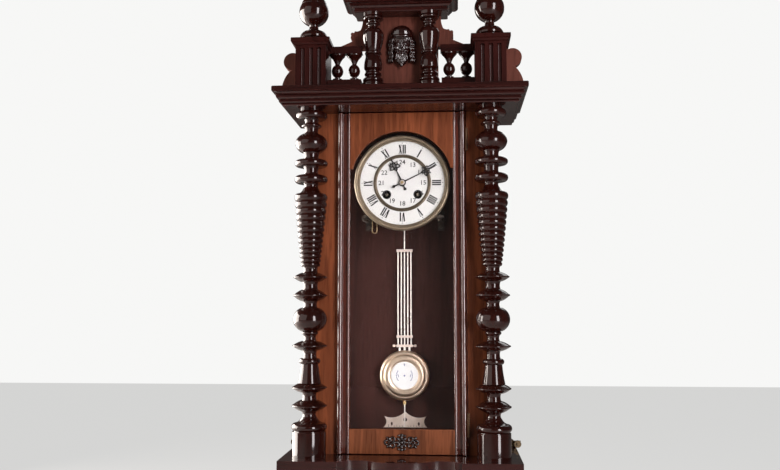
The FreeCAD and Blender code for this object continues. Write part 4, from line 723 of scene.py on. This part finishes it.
numbers = [number_on_dial(number) for number in range(13, 25)]
clear()
for piece in numbers:
    piece.select_set(True)
bpy.context.view_layer.objects.active = numbers[0]
bpy.ops.object.join()
afternoon_numbers = bpy.context.object
afternoon_numbers.name = "afternoon_numbers"
settle(afternoon_numbers)
finish_with(afternoon_numbers, "WELD", merge_threshold=0.01 * MM)
face_outwards(afternoon_numbers)
place_on(afternoon_numbers, "case", "dark_steel", black_ink, angle=30)


# ---------------------------------------------------------------- the hands
# hands are drawn in round wire, then flattened; their angles are clockwise from XII
WIRE = 1.15 * MM
FLAT = 0.38
HOUR_ANGLE = math.radians(335.33)
MINUTE_ANGLE = math.radians(64)


def hand_hub(radius):
    """Round middle of a hand, about the origin."""
    bpy.ops.mesh.primitive_cylinder_add(vertices=48, radius=radius, depth=2 * WIRE,
                                        location=(0, 0, 0), rotation=(math.pi / 2, 0, 0))


def set_hand(piece, near, angle):
    """Flatten a hand drawn round the origin, turn it and set it on its arbor."""
    carve(piece, 0.28 * MM, 2)
    piece.scale = (1, FLAT, 1)
    settle(piece)
    piece.location = (DIAL_X, near - FLAT * WIRE, DIAL_Z)
    piece.rotation_euler = (0, angle, 0)
    settle(piece)


def filigree(foot, height, reach):
    """Pierced head of a hand: a foot loop, two pairs of side loops and a long middle eye."""
    loop((0, 0, foot + 0.1 * height), 0.105 * height, WIRE * 0.9)
    loop((0, 0, foot + 0.5 * height), 0.15 * height, WIRE * 0.9, stretch=(0.8, 1, 1.7))
    for sign in (-1, 1):
        loop((sign * reach * 0.58, 0, foot + 0.3 * height), 0.15 * height, WIRE * 0.85)
        loop((sign * reach * 0.5, 0, foot + 0.6 * height), 0.115 * height, WIRE * 0.8)
        lump((sign * reach * 0.98, 0, foot + 0.22 * height), (1.25 * MM, WIRE, 1.25 * MM))
        lump((sign * reach * 0.86, 0, foot + 0.72 * height), (1.1 * MM, WIRE, 1.1 * MM))
        spike(foot - 0.02 * height, foot + 0.22 * height, WIRE, WIRE * 0.7,
              x=sign * reach * 0.2, lean=sign * 0.6)


hour_hand = start("hour_hand_pierced")
hand_hub(6.7 * MM)
spike(3 * MM, 26 * MM, 1.5 * MM, 1.0 * MM)
filigree(25 * MM, 20 * MM, 9.6 * MM)
spike(42 * MM, 50 * MM, 1.6 * MM, 0.3 * MM)
spike(-12 * MM, -3 * MM, 1.0 * MM, 1.7 * MM)
lump((0, 0, -12.4 * MM), (2.8 * MM, WIRE, 2.8 * MM))
HOUR_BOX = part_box("hour_hand")
set_hand(hour_hand, HOUR_BOX[1].y, HOUR_ANGLE)
place_on(hour_hand, "hour", "dark_steel", black_steel, "hour_hand")

minute_hand = start("minute_hand_pierced")
hand_hub(5.6 * MM)
spike(3 * MM, 42 * MM, 1.35 * MM, 0.8 * MM)
filigree(40 * MM, 18.5 * MM, 8.4 * MM)
spike(56 * MM, 70 * MM, 1.4 * MM, 0.3 * MM)
spike(-19 * MM, -3 * MM, 1.0 * MM, 1.5 * MM)
lump((0, 0, -16.5 * MM), (2.7 * MM, WIRE, 2.9 * MM))
spike(-21 * MM, -17 * MM, 0.5 * MM, 1.6 * MM)
MINUTE_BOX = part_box("minute_hand")
set_hand(minute_hand, MINUTE_BOX[1].y, MINUTE_ANGLE)
place_on(minute_hand, "minute", "dark_steel", black_steel, "minute_hand")

COLLET_RADIUS = 4.6 * MM
COLLET_DEPTH = 1.2 * MM
collet = start("hand_collet")
bpy.ops.mesh.primitive_cylinder_add(
    vertices=48, radius=COLLET_RADIUS, depth=COLLET_DEPTH,
    location=(DIAL_X, MINUTE_BOX[0].y - COLLET_DEPTH / 2, DIAL_Z), rotation=(math.pi / 2, 0, 0))
bpy.ops.object.mode_set(mode="OBJECT")
finish_with(collet, "BEVEL", width=0.5 * MM, segments=4, limit_method="ANGLE")
face_outwards(collet)
place_on(collet, "minute", "aged_brass", collet_metal)

# ---------------------------------------------------------------- the carved head
PANEL_LOW, PANEL_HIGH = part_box("carved_head")
HEAD_Z = (PANEL_LOW.z + PANEL_HIGH.z) / 2
PANEL_FACE = PANEL_HIGH.y


def on_panel(x, forward, z):
    """Place on the crest panel in millimetres from the head's middle."""
    return (x * MM, PANEL_FACE - forward * MM, HEAD_Z + z * MM)


def form(x, forward, z, half, turn=(0, 0, 0), pair=False):
    """One lump of the head, or a mirrored pair."""
    for sign in (1, -1) if pair else (1,):
        lump(on_panel(sign * x, forward, z), tuple(value * MM for value in half),
             (turn[0], sign * turn[1], sign * turn[2]))


head = start("carved_head_relief")
form(0, 2, 2, (16.5, 11.5, 25))
form(0, 4, 12, (13.5, 11, 9))
# brows, closed lids and nose
form(6.2, 12, 7.2, (5.8, 2.6, 1.5), (0, 0.14, 0), pair=True)
form(6.3, 10.2, 2.6, (3.7, 4.4, 2.9), pair=True)
form(6.3, 12, 1.2, (4, 2.4, 0.7), (0, 0.1, 0), pair=True)
form(0, 13.4, 2, (1.9, 3, 6.6), (0.3, 0, 0))
form(0, 16, -3.6, (2.4, 2.7, 2.1))
form(2.4, 14.2, -4.2, (1.5, 2, 1.3), pair=True)
# cheeks, mouth, moustache, chin and beard
form(8.6, 7.4, -3.4, (5.2, 6, 5.8), pair=True)
form(0, 8.2, -10, (7.4, 6.2, 5.6))
form(0, 14, -10.1, (3.3, 1.7, 0.8))
form(0, 13.8, -11.9, (2.8, 1.9, 1.1))
form(4.4, 13.4, -8.6, (4.6, 2, 1.4), (0, 0.32, 0), pair=True)
form(0, 10, -17, (5.6, 4.8, 4))
form(0, 7, -24, (10.5, 6.5, 12.5))
for index in range(-3, 4):
    form(3.1 * index, 11.4 - 0.9 * abs(index), -24 + 2 * abs(index), (1.9, 3.4, 9.8),
         (0, -0.07 * index, 0))
form(0, 8.5, -34.5, (3.2, 3.4, 4.8))
# waving locks at both sides, and a smooth cap with a rolled band over the fringe
for strand in range(3):
    for index in range(6):
        sway = 1.1 if index % 2 else -0.7
        form(16.4 + 2.9 * strand + sway, 8.4 - 1.7 * strand - 0.4 * index, 10 - 7.2 * index,
             (2.2, 4.2, 5.8), (0, 0.24 if index % 2 else -0.24, 0), pair=True)
form(0, 3, 19, (22.5, 13.5, 18))
form(0, 5, 25, (18.5, 12.5, 13.5))
loop(on_panel(0, -1, 18), 19.6 * MM, 2.6 * MM, turn=(0.12, 0, 0))
for index in range(-3, 4):
    form(4.4 * index, 12.6 - 0.45 * index * index, 12.4 - 0.25 * index * index, (2.3, 2.6, 3.4),
         (0, 0.22 * index, 0))
finish_relief(head, 0.45 * MM, 3, PANEL_FACE)
place_on(head, "case", "carved_wood", carved_wood, "carved_head", angle=60)

# ---------------------------------------------------------------- the door's carved ornament
ORN_LOW, ORN_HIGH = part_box("door_ornament")
ORN_Z = (ORN_LOW.z + ORN_HIGH.z) / 2
RAIL_FACE = ORN_HIGH.y


def on_rail(x, forward, z):
    """Place on the door's bottom rail in millimetres from the ornament's middle."""
    return (x * MM, RAIL_FACE - forward * MM, ORN_Z + z * MM)


def bud(x, forward, z, half, turn=0.0):
    """One lump of the ornament."""
    lump(on_rail(x, forward, z), tuple(value * MM for value in half), (0, turn, 0))


ornament = start("door_ornament_carved")
bud(0, 3.4, 0, (3.0, 2.8, 3.0))
loop(on_rail(0, 2.4, 0), 4.6 * MM, 1.0 * MM)
for index in range(8):
    angle = math.pi / 4 * index
    bud(8 * math.sin(angle), 2.0, 8 * math.cos(angle), (2.5, 2.4, 3.6), angle)
for sign in (-1, 1):
    bud(0, 2.0, sign * 12.4, (2.8, 2.2, 2.6))
    bud(5.2, 1.8, sign * 11.4, (2.6, 2.0, 1.8), 0.5 * sign)
    bud(-5.2, 1.8, sign * 11.4, (2.6, 2.0, 1.8), -0.5 * sign)
    for up in (-1, 1):
        loop(on_rail(sign * 15.6, 2.0, up * 5.2), 3.6 * MM, 1.6 * MM)
        bud(sign * 22.4, 2.2, up * 6.6, (4.8, 2.5, 2.5), -0.5 * sign * up)
        bud(sign * 27, 2.0, up * 3.0, (3.4, 2.2, 1.9), 0.3 * sign * up)
        bud(sign * 20.4, 1.8, up * 1.9, (4.0, 2.0, 1.4), 0.2 * sign * up)
    bud(sign * 12.4, 2.2, 0, (2.6, 2.2, 2.0))
    bud(sign * 29.4, 1.8, 0, (1.8, 1.8, 1.6))
finish_relief(ornament, 0.35 * MM, 2, RAIL_FACE)
place_on(ornament, "door", "carved_wood", carved_wood, "door_ornament", angle=60)

# ---------------------------------------------------------------- marks on the bob and scale
BOB_LOW, BOB_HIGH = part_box("bob_disc")
BOB_Z = (BOB_LOW.z + BOB_HIGH.z) / 2
BOB_X = (BOB_LOW.x + BOB_HIGH.x) / 2


def bob_point(x, z):
    """Place on the bob's disc in millimetres from its middle."""
    return (BOB_X + x * MM, BOB_LOW.y - MARK_LIFT, BOB_Z + z * MM)


def bob_mark(x, z, width, height, turn=0.0):
    """Painted bar on the bob's disc, in millimetres."""
    bar(bob_point(x, z), width * MM, height * MM, turn)


BOB_RING = 14.5
bob_marks = start("bob_marks")
for sign in (-1, 1):
    for index in range(5):
        angle = math.radians(90 * sign + 16 * (index - 2))
        bob_mark(BOB_RING * math.sin(angle), BOB_RING * math.cos(angle), 3.6, 1.1,
                 angle + 0.35 * sign)
    bob_mark(11.2 * sign, 0, 1.0, 5.2, 0.3 * sign)
bob_mark(0, 19.5, 1.1, 4.2)
bob_mark(0, 21.2, 2.8, 1.0)
dot(bob_point(0, 0), 1.5 * MM, 20)
place_on(bob_marks, "pendulum", "porcelain", blue_ink, angle=30)

SCALE_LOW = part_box("beat_scale")[0]
SCALE_PITCH = 5.2 * MM
SCALE_MARGIN = 0.8 * MM
LONG_MARK = 4.2 * MM
SHORT_MARK = 2.6 * MM
SCALE_MARK_WIDTH = 0.6 * MM
scale_marks = start("beat_scale_marks")
for index in range(-6, 7):
    height = SHORT_MARK if index % 3 else LONG_MARK
    bar((index * SCALE_PITCH, SCALE_LOW.y - MARK_LIFT, SCALE_LOW.z + SCALE_MARGIN + height / 2),
        SCALE_MARK_WIDTH, height)
place_on(scale_marks, "case", "dark_steel", black_ink, angle=30)

# ---------------------------------------------------------------- room
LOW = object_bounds()[0]
FLOOR_DROP = 0.3
FLOOR_SIZE = 14
clear()
bpy.ops.mesh.primitive_plane_add(size=FLOOR_SIZE, location=(0, 0, LOW.z - FLOOR_DROP))
floor = bpy.context.object
floor.name = "floor"
floor_finish, floor_tree, floor_shader, floor_place, floor_out = surface("floor_paint")
floor_noise = floor_tree.add("ShaderNodeTexNoise", Vector=floor_place, Scale=3.0, Detail=3.0)
floor_tree.feed(floor_tree.blend(floor_noise.outputs["Fac"], (0.5, 0.49, 0.48, 1),
                                 (0.56, 0.55, 0.54, 1)), floor_shader.inputs["Base Color"])
floor_shader.inputs["Roughness"].default_value = 0.9
floor_pale = floor_tree.add("ShaderNodeEmission", Color=(0.86, 0.86, 0.85, 1), Strength=0.85)
floor_ray = floor_tree.add("ShaderNodeLightPath")
floor_mix = floor_tree.mix_shaders(
    floor_tree.math("MULTIPLY", floor_ray.outputs["Is Camera Ray"], 0.9),
    floor_shader.outputs["BSDF"], floor_pale.outputs["Emission"])
floor_tree.feed(floor_mix, floor_out.inputs["Surface"])
floor.data.materials.append(floor_finish)

world = bpy.data.worlds.new("studio")
bpy.context.scene.world = world
world.use_nodes = True
room = Tree(world.node_tree)
world.node_tree.nodes.clear()
sky_out = room.add("ShaderNodeOutputWorld")
seen = room.add("ShaderNodeBackground", Color=(0.93, 0.93, 0.92, 1), Strength=1.0)
felt = room.add("ShaderNodeBackground", Color=(1.0, 0.93, 0.88, 1), Strength=0.06)
ray = room.add("ShaderNodeLightPath")
sky = room.mix_shaders(ray.outputs["Is Camera Ray"], felt.outputs["Background"],
                       seen.outputs["Background"])
room.feed(sky, sky_out.inputs["Surface"])


def softbox(name, place, aim, size, power, colour=(1, 1, 1)):
    """Rectangular soft lamp, turned to face a point."""
    clear()
    bpy.ops.object.light_add(type="AREA", location=place)
    lamp = bpy.context.object
    lamp.name = name
    lamp.data.shape = "RECTANGLE"
    lamp.data.size = size[0]
    lamp.data.size_y = size[1]
    lamp.data.energy = power
    lamp.data.color = colour
    lamp.rotation_euler = (Vector(aim) - Vector(place)).to_track_quat("-Z", "Y").to_euler()


MIDDLE = (0, -0.1, -0.25)
softbox("window_right", (1.62, -2.4, 0.13), (0, -0.1, 0.13), (0.75, 2.2), 68, (1, 0.95, 0.97))
softbox("front_left", (-2.3, -2.5, 0.6), MIDDLE, (3.2, 3.0), 30, (1, 0.95, 0.91))
softbox("rim_left", (-2.3, 0.55, -0.05), MIDDLE, (2.9, 1.85), 210, (1, 0.92, 0.86))
softbox("back_light", (0.9, 2.6, 1.6), MIDDLE, (1.6, 1.2), 9)

# ---------------------------------------------------------------- camera
CAMERA_PLACE = (0.0904, -1.6235, -0.3183)
YAW = math.radians(4.22)
PITCH = math.radians(5.25)
SENSOR_WIDTH = 36
LENS = 39.6
clear()
bpy.ops.object.camera_add(location=CAMERA_PLACE)
camera = bpy.context.object
camera.name = "camera"
look = Vector((-math.sin(YAW) * math.cos(PITCH), math.cos(YAW) * math.cos(PITCH),
               math.sin(PITCH)))
camera.rotation_mode = "QUATERNION"
camera.rotation_quaternion = look.to_track_quat("-Z", "Y")
camera.data.sensor_width = SENSOR_WIDTH
camera.data.lens = LENS
bpy.context.scene.camera = camera
bpy.context.scene.view_settings.view_transform = "Standard"
